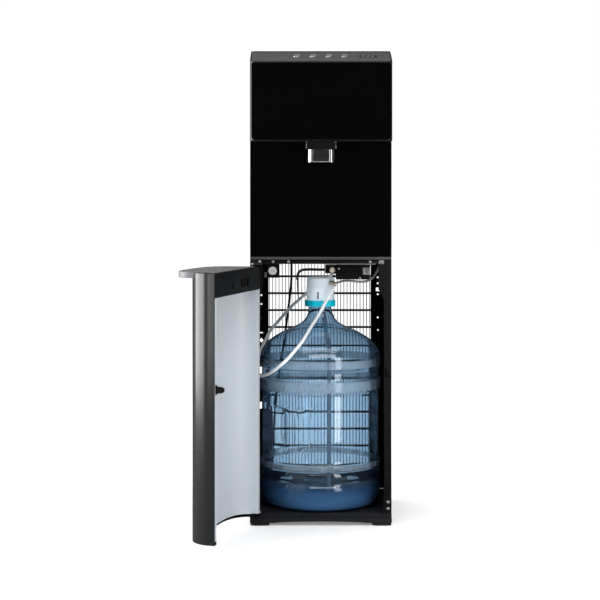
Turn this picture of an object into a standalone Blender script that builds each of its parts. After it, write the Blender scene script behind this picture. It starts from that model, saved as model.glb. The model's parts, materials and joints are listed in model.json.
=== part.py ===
"""Bottom-loading water dispenser with its bottle bay open, in metres, +Z up.

Everything is laid out in the cabinet's own frame: X to the right, Y to the back, Z up, with X = 0 on the
cabinet's middle, Y = 0 on the plane of its front flanges and Z = 0 on the floor. The whole assembly hangs
on one empty, which moves the middle of its footprint to the origin.
"""

import math

import bmesh
import bpy
from mathutils import Matrix, Vector

GAP = 0.0003
SHEET = 0.0012

CABINET_W = 0.310
CABINET_D = 0.300
HALF_W = CABINET_W / 2
HEAD_HALF_W = 0.1525
HEAD_REACH = 0.0925
BASE_TOP_Z = 0.025
BASE_CLEAR_Z = 0.006
BAY_TOP_Z = 0.571
CEILING_Z = 0.581
SPLASH_LOW_Z = 0.5868
SPLASH_TOP_Z = 0.838
CABINET_TOP_Z = 0.985
VISOR_TOP_Z = 1.0085
RIDGE_Z = 1.037

FLANGE_FRONT_W = 0.0166
FLANGE_REAR_W = 0.034

HINGE_X = -0.148
HINGE_Y = -0.016
DOOR_OPEN = math.radians(105.5)
DOOR_HALF_W = 0.154
DOOR_INNER_Y = -0.002
DOOR_EDGE = 0.012
DOOR_BULGE = 0.0606
DOOR_POWER = 4.2
DOOR_LOW_Z = 0.0213
DOOR_TOP_Z = 0.5665
DOOR_SKIN = 0.0014
LINER_LOW_Z = 0.0292
LINER_TOP_Z = 0.5167

BOTTLE_Y = 0.132
BOTTLE_R = 0.1365
BODY_R = 0.1325
NECK_R = 0.0255
NECK_TOP_Z = 0.512
CAP_LOW_Z = 0.4697
CAP_MID_Z = 0.483
CAP_TOP_Z = 0.535
CAP_R = 0.0312
CAP_RING_R = 0.0344

TRAY_HALF_W = 0.127
TRAY_DEPTH = 0.109
TRAY_LOW_Z = 0.5552
TRAY_TOP_Z = 0.5676
GRID_THICK = 0.0022
TRAY_WALL = 0.0022

NOZZLE_Y = -0.062
BUTTON_R = 0.0088
BUTTON_PITCH = 0.0345
BUTTON_COUNT = 4
BUTTON_ALONG = 0.047
PANEL_THICK = 0.003

CONDENSER_RUNS = 12
CONDENSER_PITCH = 0.0402
CONDENSER_LOW_Z = 0.125
CONDENSER_Y = 0.309
CONDENSER_HALF_W = 0.139
CONDENSER_TUBE_R = 0.0026
WIRE_COUNT = 34
WIRE_PITCH = 0.0077
WIRE_W = 0.0016

FOOTPRINT_MIDDLE = (-0.0695, 0.0031)

for old in list(bpy.data.objects):
    bpy.data.objects.remove(old, do_unlink=True)

origin = bpy.data.objects.new("dispenser_origin", None)
origin.location = (-FOOTPRINT_MIDDLE[0], -FOOTPRINT_MIDDLE[1], 0)
bpy.context.scene.collection.objects.link(origin)

door_axis = bpy.data.objects.new("door_axis", None)
door_axis.location = (HINGE_X, HINGE_Y, 0)
door_axis.rotation_euler = (0, 0, -DOOR_OPEN)
door_axis.parent = origin
bpy.context.scene.collection.objects.link(door_axis)


def material(name, colour, roughness, metallic=0.0, alpha=1.0):
    made = bpy.data.materials.new(name)
    made.use_nodes = True
    shader = made.node_tree.nodes["Principled BSDF"]
    shader.inputs["Base Color"].default_value = (*colour, 1)
    shader.inputs["Roughness"].default_value = roughness
    shader.inputs["Metallic"].default_value = metallic
    shader.inputs["Alpha"].default_value = alpha
    return made


def box(low, high):
    bm = bmesh.new()
    size = [b - a for a, b in zip(low, high)]
    middle = [(a + b) / 2 for a, b in zip(low, high)]
    bmesh.ops.create_cube(bm, size=1, matrix=Matrix.Translation(middle) @ Matrix.Diagonal((*size, 1)))
    return bm


def prism(outline, low, high, along="Z"):
    """A flat outline, pushed from one level to another along an axis."""
    place = {
        "X": lambda a, b, level: (level, a, b),
        "Y": lambda a, b, level: (a, level, b),
        "Z": lambda a, b, level: (a, b, level),
    }[along]
    bm = bmesh.new()
    ends = [[bm.verts.new(place(a, b, level)) for a, b in outline] for level in (low, high)]
    for end in ends:
        bm.faces.new(end)
    count = len(outline)
    for i in range(count):
        j = (i + 1) % count
        bm.faces.new((ends[0][i], ends[0][j], ends[1][j], ends[1][i]))
    bmesh.ops.recalc_face_normals(bm, faces=bm.faces)
    return bm


def turned(profile, at=(0, 0), segments=40):
    """A closed profile of radius and height, turned about an upright axis through the point."""
    bm = bmesh.new()
    rings = []
    for radius, height in profile:
        if radius == 0:
            rings.append([bm.verts.new((at[0], at[1], height))])
            continue
        turn = [2 * math.pi * k / segments for k in range(segments)]
        rings.append(
            [bm.verts.new((at[0] + radius * math.cos(t), at[1] + radius * math.sin(t), height)) for t in turn]
        )
    for here, after in zip(rings, rings[1:] + rings[:1]):
        for k in range(segments):
            n = (k + 1) % segments
            corners = [here[k % len(here)], here[n % len(here)], after[n % len(after)], after[k % len(after)]]
            corners = list(dict.fromkeys(corners))
            if len(corners) > 2:
                bm.faces.new(corners)
    bmesh.ops.recalc_face_normals(bm, faces=bm.faces)
    return bm


def rod(start, end, radius, segments=20):
    """A round bar between two points."""
    bm = bmesh.new()
    start, end = Vector(start), Vector(end)
    line = end - start
    turn = line.to_track_quat("Z", "Y").to_matrix().to_4x4()
    bmesh.ops.create_cone(
        bm,
        cap_ends=True,
        segments=segments,
        radius1=radius,
        radius2=radius,
        depth=line.length,
        matrix=Matrix.Translation((start + end) / 2) @ turn,
    )
    return bm


def rounded(x0, x1, y0, y1, radius, steps=4):
    """A rectangle's outline with round corners."""
    outline = []
    corners = ((x1 - radius, y1 - radius), (x0 + radius, y1 - radius), (x0 + radius, y0 + radius))
    corners += ((x1 - radius, y0 + radius),)
    for quarter, (cx, cy) in enumerate(corners):
        for k in range(steps + 1):
            t = math.pi / 2 * (quarter + k / steps)
            outline.append((cx + radius * math.cos(t), cy + radius * math.sin(t)))
    return outline


def node(name, bm, made, parent=origin, location=(0, 0, 0), rotation=(0, 0, 0), helper=False):
    mesh = bpy.data.meshes.new(name)
    bm.to_mesh(mesh)
    bm.free()
    mesh.materials.append(made)
    mesh.shade_smooth()
    mesh.set_sharp_from_angle(angle=math.radians(35))
    obj = bpy.data.objects.new(name, mesh)
    obj.location = location
    obj.rotation_euler = rotation
    obj.parent = parent
    obj.hide_render = helper
    if helper:
        obj.display_type = "WIRE"
    bpy.context.scene.collection.objects.link(obj)
    return obj


def boolean(obj, bm, operation):
    tool = node(f"{obj.name}_{operation.lower()}_{len(obj.modifiers)}", bm, obj.active_material, helper=True)
    tool.parent = obj.parent
    tool.location = obj.location
    tool.rotation_euler = obj.rotation_euler
    modifier = obj.modifiers.new(tool.name, "BOOLEAN")
    modifier.operation = operation
    modifier.object = tool
    return obj


def cut(obj, *shapes):
    for bm in shapes:
        boolean(obj, bm, "DIFFERENCE")
    return obj


def join(obj, *shapes):
    for bm in shapes:
        boolean(obj, bm, "UNION")
    return obj


def bevel(obj, width, segments=2):
    modifier = obj.modifiers.new("edges", "BEVEL")
    modifier.width = width
    modifier.segments = segments
    modifier.limit_method = "ANGLE"
    modifier.angle_limit = math.radians(50)
    return obj


def smooth_path(route, step):
    """Points a set distance apart on a smooth curve through the route."""
    route = [Vector(p) for p in route]
    ends = [2 * route[0] - route[1], *route, 2 * route[-1] - route[-2]]
    fine = []
    for a, b, c, d in zip(ends, ends[1:], ends[2:], ends[3:]):
        for k in range(12):
            t = k / 12
            fine.append(
                0.5
                * (2 * b + (c - a) * t + (2 * a - 5 * b + 4 * c - d) * t**2 + (3 * b - a - 3 * c + d) * t**3)
            )
    fine.append(route[-1])
    total = sum((b - a).length for a, b in zip(fine, fine[1:]))
    count = max(2, round(total / step))
    points = [fine[0]]
    walked = 0.0
    for a, b in zip(fine, fine[1:]):
        span = (b - a).length
        while len(points) < count and walked + span >= len(points) * total / count:
            points.append(a.lerp(b, (len(points) * total / count - walked) / span))
        walked += span
    points.append(fine[-1])
    return points


def tube(name, points, radius, made, resolution=2, parent=origin):
    curve = bpy.data.curves.new(name, "CURVE")
    curve.dimensions = "3D"
    curve.bevel_depth = radius
    curve.bevel_resolution = resolution
    curve.use_fill_caps = True
    spline = curve.splines.new("POLY")
    spline.points.add(len(points) - 1)
    for point, place in zip(spline.points, points):
        point.co = (*place, 1)
    curve.materials.append(made)
    obj = bpy.data.objects.new(name, curve)
    obj.parent = parent
    bpy.context.scene.collection.objects.link(obj)
    return obj


def mirrored_x(outline):
    return [(-x, y) for x, y in reversed(outline)]


# Cabinet -------------------------------------------------------------------------------------------------


def base_tray():
    """Moulded base: a platform for the bottle, a low front lip, an arched skirt and four moulded feet."""
    made = material("base_plastic", (0.035, 0.037, 0.042), 0.55)
    side = [(-0.010, BASE_CLEAR_Z), (-0.010, 0.016), (0, 0.016), (0, BASE_TOP_Z)]
    side += [(CABINET_D - 0.002, BASE_TOP_Z), (CABINET_D - 0.002, BASE_CLEAR_Z)]
    inner = HALF_W
    obj = node("base_tray", prism(side, -inner, inner, "X"), made)
    foot_w, foot_d, inset = 0.042, 0.050, 0.0005
    for x in (-inner + inset, inner - inset - foot_w):
        for y in (-0.010 + inset, CABINET_D - 0.003 - foot_d):
            join(obj, prism(rounded(x, x + foot_w, y, y + foot_d, 0.010), 0, 0.010))
    cut(obj, box((-inner + 0.048, 0.006, 0.002), (inner - 0.048, CABINET_D - 0.008, 0.0215)))
    return obj


def side_panels():
    """Folded sheet sides with a narrow front flange and a wide, punched rear flange."""
    made = material("side_black", (0.012, 0.012, 0.013), 0.45, 0.1)
    x = HALF_W
    outline = [(-x, 0), (-x + FLANGE_FRONT_W, 0), (-x + FLANGE_FRONT_W, SHEET), (-x + SHEET, SHEET)]
    outline += [(-x + SHEET, CABINET_D - SHEET), (-x + FLANGE_REAR_W, CABINET_D - SHEET)]
    outline += [(-x + FLANGE_REAR_W, CABINET_D), (-x, CABINET_D)]
    low = BASE_TOP_Z + GAP
    left = node("side_panel_left", prism(outline, low, CABINET_TOP_Z, "Z"), made)
    right = node("side_panel_right", prism(mirrored_x(outline), low, CABINET_TOP_Z, "Z"), made)
    through = (CABINET_D - 0.004, CABINET_D + 0.003)
    rear_x = -0.138
    for z, half_w, half_h in ((0.376, 0.005, 0.005), (0.305, 0.004, 0.008), (0.222, 0.004, 0.008)):
        cut(left, box((rear_x - half_w, through[0], z - half_h), (rear_x + half_w, through[1], z + half_h)))
    for z in (0.483, 0.462, 0.430):
        cut(left, rod((rear_x, through[0], z), (rear_x, through[1], z), 0.0022, 10))
    cut(right, box((-rear_x - 0.0045, through[0], 0.492), (-rear_x + 0.0045, through[1], 0.501)))
    for z in (0.525, 0.511, 0.485, 0.430, 0.400):
        cut(right, rod((-rear_x, through[0], z), (-rear_x, through[1], z), 0.0022, 10))
    for z in (0.0345, 0.049):
        cut(right, rod((0.1472, -0.003, z), (0.1472, 0.004, z), 0.0022, 10))
    cut(right, box((0.141, -0.003, 0.322), (0.152, 0.004, 0.344)))


def front_frame():
    """The cross rail over the bay with its gussets, the low cross plate at the back and the ceiling."""
    made = material("frame_black", (0.02, 0.02, 0.022), 0.5, 0.3)
    top = CEILING_Z - 0.0005
    half = HALF_W - SHEET - GAP
    outline = [(half, top), (half, 0.492), (0.139, 0.492), (0.1263, 0.516), (0.1263, BAY_TOP_Z)]
    rail = prism(outline + mirrored_x(outline), SHEET + GAP, SHEET + GAP + 0.0015, "Y")
    obj = node("front_rail", rail, made)
    join(obj, box((-half, SHEET + GAP, top - 0.0015), (half, 0.030, top)))
    rear_y = CABINET_D - SHEET - GAP
    low_rear = box((-half, rear_y - SHEET, BASE_TOP_Z + GAP), (half, rear_y, 0.0820))
    node("rear_cross_plate", low_rear, made)
    plate = material("ceiling_steel", (0.30, 0.31, 0.32), 0.45, 0.6)
    ceiling = box((-half, SHEET + GAP, CEILING_Z), (half, CABINET_D - SHEET - GAP, CEILING_Z + SHEET))
    node("bay_ceiling", ceiling, plate)


def splash():
    """The flat gloss panel between the door and the visor, with a pale trim strip under it."""
    black = material("splash_gloss", (0.004, 0.004, 0.005), 0.08)
    front = prism(rounded(-0.1548, 0.1548, SPLASH_LOW_Z, SPLASH_TOP_Z, 0.003), -0.0045, -GAP, "Y")
    node("splash_panel", front, black)
    trim = material("trim_grey", (0.30, 0.31, 0.32), 0.4, 0.2)
    node("splash_trim", box((-0.1548, -0.0055, 0.5808), (0.1548, -GAP, SPLASH_LOW_Z - GAP)), trim)


def rear_panel():
    """Sheet cover over the machine space, with louvres and holes for the switches, drain and cord."""
    made = material("rear_sheet", (0.025, 0.025, 0.027), 0.5, 0.2)
    y = CABINET_D + GAP
    obj = node("rear_panel", box((-0.150, y, SPLASH_LOW_Z), (0.150, y + SHEET, CABINET_TOP_Z - 0.001)), made)
    for k in range(7):
        z = 0.665 + 0.014 * k
        cut(obj, box((-0.050, y - 0.004, z), (0.050, y + 0.005, z + 0.005)))
    for x in SWITCH_X.values():
        cut(obj, box((x - 0.0075, y - 0.004, SWITCH_Z - 0.0115), (x + 0.0075, y + 0.005, SWITCH_Z + 0.0115)))
    cut(obj, rod((DRAIN_X, y - 0.004, DRAIN_Z), (DRAIN_X, y + 0.005, DRAIN_Z), 0.0090))
    cut(obj, rod((GLAND_X, y - 0.004, GLAND_Z), (GLAND_X, y + 0.005, GLAND_Z), 0.0062))


# Head ----------------------------------------------------------------------------------------------------

PANEL_RISE = RIDGE_Z - VISOR_TOP_Z
PANEL_SLOPE = math.atan2(PANEL_RISE, HEAD_REACH)
PANEL_FRONT = (-HEAD_REACH + 0.003, VISOR_TOP_Z)


def on_panel(along, off=0.0):
    """The Y and Z of a point on the sloping control panel, measured from its front edge."""
    return (
        PANEL_FRONT[0] + along * math.cos(PANEL_SLOPE) - off * math.sin(PANEL_SLOPE),
        PANEL_FRONT[1] + along * math.sin(PANEL_SLOPE) + off * math.cos(PANEL_SLOPE),
    )


def sloped_box(x0, x1, a0, a1, low, high):
    """A box lying on the control panel's slope, from a0 to a1 up the slope and low to high off it."""
    corners = [on_panel(a0, low), on_panel(a1, low), on_panel(a1, high), on_panel(a0, high)]
    return prism(corners, x0, x1, "X")


def visor():
    """The hollow head that overhangs the nozzle, its gloss face and the lid behind it."""
    grey = material("visor_grey", (0.045, 0.046, 0.05), 0.35)
    half, radius, wall = HEAD_HALF_W, 0.012, 0.003
    plan = rounded(-half, half, -HEAD_REACH + 0.003, 0.10, radius)
    obj = node("visor_shell", prism(plan, SPLASH_TOP_Z + 0.0005, RIDGE_Z + 0.01), grey)
    top_y, top_z = on_panel(0.0975, 0.0)
    low_y, low_z = on_panel(-0.02, 0.0)
    cut(obj, prism([(low_y, low_z), (top_y, top_z), (top_y, 1.2), (low_y, 1.2)], -0.2, 0.2, "X"))
    cut(obj, box((-0.2, -0.0003, 0.8), (0.2, 0.2, 1.2)))
    hollow = rounded(-half + wall, half - wall, -HEAD_REACH + 0.003 + wall, 0.12, radius - wall)
    cut(obj, prism(hollow, SPLASH_TOP_Z + 0.0035, 1.2))
    black = material("visor_gloss", (0.004, 0.004, 0.005), 0.06)
    face = rounded(-0.1495, 0.1495, SPLASH_TOP_Z + 0.0025, VISOR_TOP_Z - 0.0015, 0.008)
    node("visor_front", prism(face, -HEAD_REACH, -HEAD_REACH + 0.003 - GAP, "Y"), black)
    lid = node(
        "top_cover",
        prism(rounded(-half, half, GAP, CABINET_D + 0.0015, 0.010), CABINET_TOP_Z + GAP, RIDGE_Z),
        grey,
    )
    cut(
        lid,
        prism(rounded(-half + wall, half - wall, 0.0035, CABINET_D - wall, 0.008), 0.90, RIDGE_Z - wall),
        box((-0.140, -0.01, 0.90), (0.140, 0.02, RIDGE_Z - 0.006)),
    )


def controls():
    """The sloping control panel with its four push buttons, display window and circuit board."""
    grey = material("panel_grey", (0.06, 0.062, 0.066), 0.30)
    half = HEAD_HALF_W - 0.003 - GAP
    length = 0.0875
    plan = rounded(-half, half, -HEAD_REACH + 0.006 + GAP, 0.05, 0.009)
    obj = node("control_panel", prism(plan, 0.98, 1.06), grey)
    boolean(obj, sloped_box(-0.2, 0.2, -0.02, length, -PANEL_THICK, 0), "INTERSECT")
    button_grey = material("button_grey", (0.40, 0.41, 0.43), 0.25, 0.3)
    for k in range(BUTTON_COUNT):
        x = (k - (BUTTON_COUNT - 1) / 2) * BUTTON_PITCH
        y, z = on_panel(BUTTON_ALONG)
        start = (x, *on_panel(BUTTON_ALONG, -0.02))
        end = (x, *on_panel(BUTTON_ALONG, 0.02))
        cut(obj, rod(start, end, BUTTON_R + 0.0005, 28))
        profile = [(0, -0.0075), (0.004, -0.0075), (0.004, -0.004), (BUTTON_R, -0.004)]
        profile += [(BUTTON_R, 0.0008), (BUTTON_R - 0.001, 0.0018), (0, 0.0018)]
        shape = turned(profile, segments=28)
        node(f"button_{k + 1}", shape, button_grey, location=(x, y, z), rotation=(PANEL_SLOPE, 0, 0))
    window = material("display_black", (0.01, 0.01, 0.012), 0.1)
    x0, x1, a0, a1 = 0.083, 0.121, 0.036, 0.056
    cut(obj, sloped_box(x0 - GAP, x1 + GAP, a0 - GAP, a1 + GAP, -0.01, 0.01))
    node("display_window", sloped_box(x0, x1, a0, a1, -0.0025, 0.0002), window)
    board = material("board_green", (0.02, 0.12, 0.05), 0.5)
    node("control_board", sloped_box(-0.085, 0.130, 0.020, 0.078, -0.0125, -0.0109), board)


def nozzle():
    """The nozzle under the visor: mount, chrome shroud, dark insert and two outlets."""
    black = material("mount_black", (0.01, 0.01, 0.011), 0.35)
    y0, y1 = NOZZLE_Y - 0.022, NOZZLE_Y + 0.026
    mount_low, top = 0.8203, SPLASH_TOP_Z + 0.0005 - GAP
    mount = node("nozzle_mount", prism(rounded(-0.033, 0.033, y0, y1, 0.006), mount_low, top), black)
    outlets = (("outlet_cold", 0.013), ("outlet_hot", -0.013))
    for _, x in outlets:
        cut(mount, rod((x, NOZZLE_Y, 0.80), (x, NOZZLE_Y, 0.85), 0.0048, 16))
    chrome = material("nozzle_chrome", (0.85, 0.86, 0.87), 0.06, 1.0)
    low = 0.7928
    ring = prism(rounded(-0.028, 0.028, y0 + 0.001, y1 - 0.002, 0.009), low, mount_low - GAP)
    shroud = node("nozzle_shroud", ring, chrome)
    cut(shroud, prism(rounded(-0.0255, 0.0255, y0 + 0.0035, y1 - 0.0045, 0.0065), low - 0.002, 0.83))
    cut(shroud, box((-0.0175, y0 - 0.01, low + 0.0012), (0.0175, y0 + 0.008, 0.83)))
    dark = material("insert_grey", (0.05, 0.052, 0.056), 0.35)
    plate = box((-0.0171, y0 + 0.0012, low + 0.0016), (0.0171, y0 + 0.0032, mount_low - 0.0005))
    node("nozzle_insert", plate, dark)
    silicone = material("outlet_silicone", (0.75, 0.76, 0.77), 0.5)
    for name, x in outlets:
        pipe = node(name, rod((x, NOZZLE_Y, 0.7985), (x, NOZZLE_Y, 0.836), 0.0044, 16), silicone)
        cut(pipe, rod((x, NOZZLE_Y, 0.790), (x, NOZZLE_Y, 0.826), 0.0028, 12))


# Door ----------------------------------------------------------------------------------------------------

TO_AXIS = (-HINGE_X, -HINGE_Y, 0)


def door_curve(inset, count=44):
    """The door's plan line, hinge side to free side, moved in by a distance along its normals."""
    fine = [(-DOOR_HALF_W, DOOR_INNER_Y)]
    for k in range(601):
        t = math.pi * k / 600
        x = -math.copysign(abs(math.cos(t)) ** (2 / DOOR_POWER), math.cos(t)) * DOOR_HALF_W
        fine.append((x, -DOOR_EDGE - DOOR_BULGE * math.sin(t)))
    fine.append((DOOR_HALF_W, DOOR_INNER_Y))
    lengths = [0.0]
    for a, b in zip(fine, fine[1:]):
        lengths.append(lengths[-1] + math.dist(a, b))
    points = []
    index = 0
    for k in range(count + 1):
        want = lengths[-1] * k / count
        while index < len(fine) - 2 and lengths[index + 1] < want:
            index += 1
        span = lengths[index + 1] - lengths[index] or 1.0
        t = (want - lengths[index]) / span
        a, b = fine[index], fine[index + 1]
        points.append((a[0] + (b[0] - a[0]) * t, a[1] + (b[1] - a[1]) * t))
    moved = []
    for k, (x, y) in enumerate(points):
        a, b = points[max(k - 1, 0)], points[min(k + 1, count)]
        if k in (0, count):
            normal = (1.0, 0.0) if k == 0 else (-1.0, 0.0)
        else:
            dx, dy = b[0] - a[0], b[1] - a[1]
            size = math.hypot(dx, dy)
            normal = (-dy / size, dx / size)
        moved.append((x + normal[0] * inset, y + normal[1] * inset))
    return moved


def door_band(outer, inner):
    return door_curve(outer) + list(reversed(door_curve(inner)))


def tray_outline(inset=0.0, steps=24):
    """The drip tray's half-moon: straight along the door's inside, full round outside."""
    half, depth, back = TRAY_HALF_W - inset, TRAY_DEPTH - inset, 0.006 + inset
    outline = [(half, -back)]
    for k in range(steps + 1):
        t = math.pi * k / steps
        across = math.copysign(abs(math.cos(t)) ** 0.62, math.cos(t))
        outline.append((half * across, -0.058 - (depth - 0.058) * math.sin(t) ** 0.80))
    outline.append((-half, -back))
    return outline


def door_nodes():
    steel = material("door_steel", (0.22, 0.225, 0.23), 0.32, 0.85)
    skin = prism(door_band(0, DOOR_SKIN), DOOR_LOW_Z, DOOR_TOP_Z)
    panel = node("door_outer_panel", skin, steel, door_axis, TO_AXIS)
    notch = TRAY_HALF_W + 0.0012
    cut(panel, box((-notch, -0.12, TRAY_LOW_Z - 0.0005), (notch, -0.03, 0.6)))
    pale = material("liner_pale", (0.62, 0.66, 0.70), 0.45)
    sheet = prism(door_band(0.0095, 0.0115), LINER_LOW_Z, LINER_TOP_Z)
    liner = node("door_liner", sheet, pale, door_axis, TO_AXIS)
    for side in (-1, 1):
        xs = sorted((side * (DOOR_HALF_W - DOOR_SKIN - GAP), side * (DOOR_HALF_W - 0.0113)))
        lip = box((xs[0], DOOR_INNER_Y - 0.0020, LINER_LOW_Z), (xs[1], DOOR_INNER_Y, LINER_TOP_Z))
        join(liner, lip)
    black = material("door_black", (0.012, 0.012, 0.013), 0.4)
    inside = door_curve(DOOR_SKIN + GAP)
    support = node("tray_support", prism(inside, LINER_TOP_Z + GAP, DOOR_TOP_Z), black, door_axis, TO_AXIS)
    pocket = tray_outline(-0.0015)
    cut(support, prism(pocket, TRAY_LOW_Z - 0.0005, 0.6))
    hollow = [(-0.138, -0.007), (0.138, -0.007), (0.138, -0.036), (0.118, -0.055)]
    hollow += [(-0.118, -0.055), (-0.138, -0.036)]
    cut(support, prism(hollow, 0.50, 0.550))
    cut(support, box((-0.075, -0.02, 0.528), (-0.058, 0.0, 0.546)))
    cut(support, rod((HINGE_X, HINGE_Y, 0.53), (HINGE_X, HINGE_Y, 0.58), 0.0029, 16))
    low, high = DOOR_LOW_Z + 0.0004, LINER_LOW_Z - GAP
    bottom = prism(door_band(DOOR_SKIN + GAP, 0.0125), low, high)
    cap = node("door_bottom_cap", bottom, black, door_axis, TO_AXIS)
    boss = turned([(0, low), (0.0042, low), (0.0042, high), (0, high)], (HINGE_X + 0.0006, HINGE_Y), 20)
    join(cap, boss)
    cut(cap, rod((HINGE_X, HINGE_Y, 0.01), (HINGE_X, HINGE_Y, 0.04), 0.0029, 16))
    plate = box((0.1435, -0.0017, 0.3230), (0.1505, -GAP, 0.3430))
    catch = node("door_catch", plate, black, door_axis, TO_AXIS)
    hook = [(-0.0010, 0.3255), (0.0160, 0.3275), (0.0160, 0.3385), (-0.0010, 0.3405)]
    join(catch, prism(hook, 0.1450, 0.1490, "X"))


def tray():
    """The lift-out drip tray on top of the door, with its drain grid."""
    grey = material("tray_grey", (0.17, 0.175, 0.18), 0.45)
    bowl = node("drip_tray", prism(tray_outline(), TRAY_LOW_Z, TRAY_TOP_Z), grey, door_axis, TO_AXIS)
    cut(bowl, prism(tray_outline(TRAY_WALL), TRAY_LOW_Z + TRAY_WALL, 0.6))
    grid_shape = prism(tray_outline(TRAY_WALL + GAP), TRAY_TOP_Z - GRID_THICK, TRAY_TOP_Z - 0.0002)
    grid = node("drip_grid", grid_shape, grey, door_axis, TO_AXIS)
    for row in range(4):
        for col in range(-2, 3):
            x, y = 0.040 * col, -0.025 - 0.018 * row
            cut(grid, prism(rounded(x - 0.015, x + 0.015, y - 0.0028, y + 0.0028, 0.0027, 1), 0.55, 0.58))
    for x in (-0.06, 0.06):
        foot = (x, -0.050, TRAY_LOW_Z + TRAY_WALL + 0.0005)
        join(grid, rod(foot, (x, -0.050, TRAY_TOP_Z - 0.001), 0.0025, 10))


def hinges():
    """Cabinet-side hinge plates, each with its pin riveted in."""
    made = material("hinge_black", (0.015, 0.015, 0.016), 0.35, 0.5)
    x0, x1 = -0.1545, -0.128
    high = 0.0016
    upper = node("upper_hinge_bracket", box((x0, -0.025, 0.5698), (x1, -GAP, 0.5698 + high)), made)
    join(
        upper,
        box((x0, -0.0017, 0.5698), (x1, -GAP, 0.5802)),
        rod((HINGE_X, HINGE_Y, 0.545), (HINGE_X, HINGE_Y, 0.5735), 0.0025),
    )
    lower = node("lower_hinge_bracket", box((x0, -0.026, 0.0163), (x1, -GAP, 0.0163 + high + 0.0006)), made)
    join(
        lower,
        box((-0.1415, -0.0016, 0.0163), (x1, -GAP, 0.033)),
        rod((HINGE_X, HINGE_Y, 0.0163), (HINGE_X, HINGE_Y, 0.0275), 0.0025),
    )


# Bottle and its cap --------------------------------------------------------------------------------------


def bottle_profile():
    """Outer radius and height of the bottle from its pushed-up base to its mouth."""
    rib, body = BOTTLE_R, BODY_R
    points = [(0, 0.0300), (0.060, 0.0295), (0.098, 0.0262), (0.110, BASE_TOP_Z + GAP), (0.124, 0.031)]
    points += [(0.133, 0.046), (0.1355, 0.068), (0.131, 0.084), (0.131, 0.091), (rib, 0.104), (rib, 0.124)]
    points += [(body, 0.131), (body, 0.277), (rib, 0.283), (rib, 0.299), (body, 0.305), (body, 0.327)]
    points += [(rib, 0.333), (rib, 0.358), (0.131, 0.374), (0.1174, 0.392), (0.099, 0.404), (0.0789, 0.415)]
    points += [(0.0448, 0.431), (0.031, 0.446), (NECK_R, 0.465), (NECK_R, NECK_TOP_Z)]
    return points


def bottle():
    blue = material("bottle_blue", (0.12, 0.35, 0.65), 0.08, alpha=0.35)
    outer = bottle_profile()
    wall = 0.002
    smooth = [(r, z) for r, z in outer if z < 0.06 or 0.12 < z < 0.14 or z > 0.32]
    inner = [(max(min(r, BODY_R) - wall, 0), z + (wall if z < 0.06 else -wall)) for r, z in smooth]
    inner[-1] = (NECK_R - wall, NECK_TOP_Z)
    profile = outer + list(reversed(inner))
    bm = turned(profile, (0, BOTTLE_Y), 32)
    node("bottle", bm, blue)


def bottle_cap():
    pale = material("cap_pale", (0.72, 0.82, 0.92), 0.35)
    inner = NECK_R + 0.0007
    low, roof = CAP_MID_Z + GAP, NECK_TOP_Z + 0.0015
    profile = [(0, roof), (inner, roof), (inner, low), (CAP_R, low), (CAP_R, CAP_TOP_Z - 0.004)]
    profile += [(CAP_R - 0.004, CAP_TOP_Z), (0, CAP_TOP_Z)]
    node("cap_body", turned(profile, (0, BOTTLE_Y), 36), pale)
    cyan = material("cap_cyan", (0.0, 0.55, 0.85), 0.3)
    ring = [(inner, CAP_LOW_Z), (CAP_RING_R, CAP_LOW_Z), (CAP_RING_R, CAP_MID_Z), (inner, CAP_MID_Z)]
    node("cap_ring", turned(ring, (0, BOTTLE_Y), 36), cyan)
    beige = material("elbow_beige", (0.62, 0.58, 0.46), 0.45)
    tube("cap_elbow", smooth_path(ELBOW_ROUTE, 0.003), 0.0050, beige, 3)
    clear = material("suction_clear", (0.80, 0.85, 0.90), 0.3)
    tube("suction_tube", smooth_path(SUCTION_ROUTE, 0.030), 0.0050, clear, 2)


# Water, pump and cables ----------------------------------------------------------------------------------

ELBOW_ROUTE = [
    (0.0225, 0.1095, 0.5235),
    (0.0265, 0.1040, 0.5235),
    (0.0305, 0.0985, 0.5228),
    (0.0315, 0.0935, 0.5190),
]
SUCTION_ROUTE = [
    (0.0020, 0.1320, 0.5132),
    (0.0035, 0.1320, 0.4700),
    (0.0120, 0.1320, 0.4200),
    (0.0190, 0.1320, 0.3600),
    (0.0200, 0.1320, 0.2000),
    (0.0195, 0.1320, 0.0480),
]
SUCTION_ROUTE += [(0.020, 0.135, 0.048)]
SUPPLY_ROUTE = [
    (0.0312, 0.0917, 0.5160),
    (0.0270, 0.0885, 0.5080),
    (0.0180, 0.0860, 0.4920),
    (0.0100, 0.0850, 0.4790),
    (-0.0055, 0.0800, 0.4505),
    (-0.0210, 0.0560, 0.4290),
    (-0.0385, 0.0230, 0.4020),
    (-0.0570, 0.0080, 0.3800),
    (-0.0750, 0.0060, 0.3600),
    (-0.0950, 0.0180, 0.3420),
    (-0.1135, 0.0400, 0.3270),
    (-0.1310, 0.0720, 0.3180),
    (-0.1440, 0.1120, 0.3160),
    (-0.1455, 0.1500, 0.3230),
    (-0.1430, 0.1850, 0.3370),
    (-0.1375, 0.2150, 0.3600),
    (-0.1265, 0.2380, 0.3830),
    (-0.1140, 0.2480, 0.4050),
    (-0.0930, 0.2500, 0.4300),
    (-0.0700, 0.2500, 0.4560),
    (-0.0485, 0.2450, 0.4760),
    (-0.0250, 0.2380, 0.4960),
    (0.0050, 0.2220, 0.5180),
    (0.0300, 0.1850, 0.5400),
    (0.0440, 0.1400, 0.5530),
    (0.0480, 0.1150, 0.5550),
    (0.0480, 0.0956, 0.5550),
]
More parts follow.
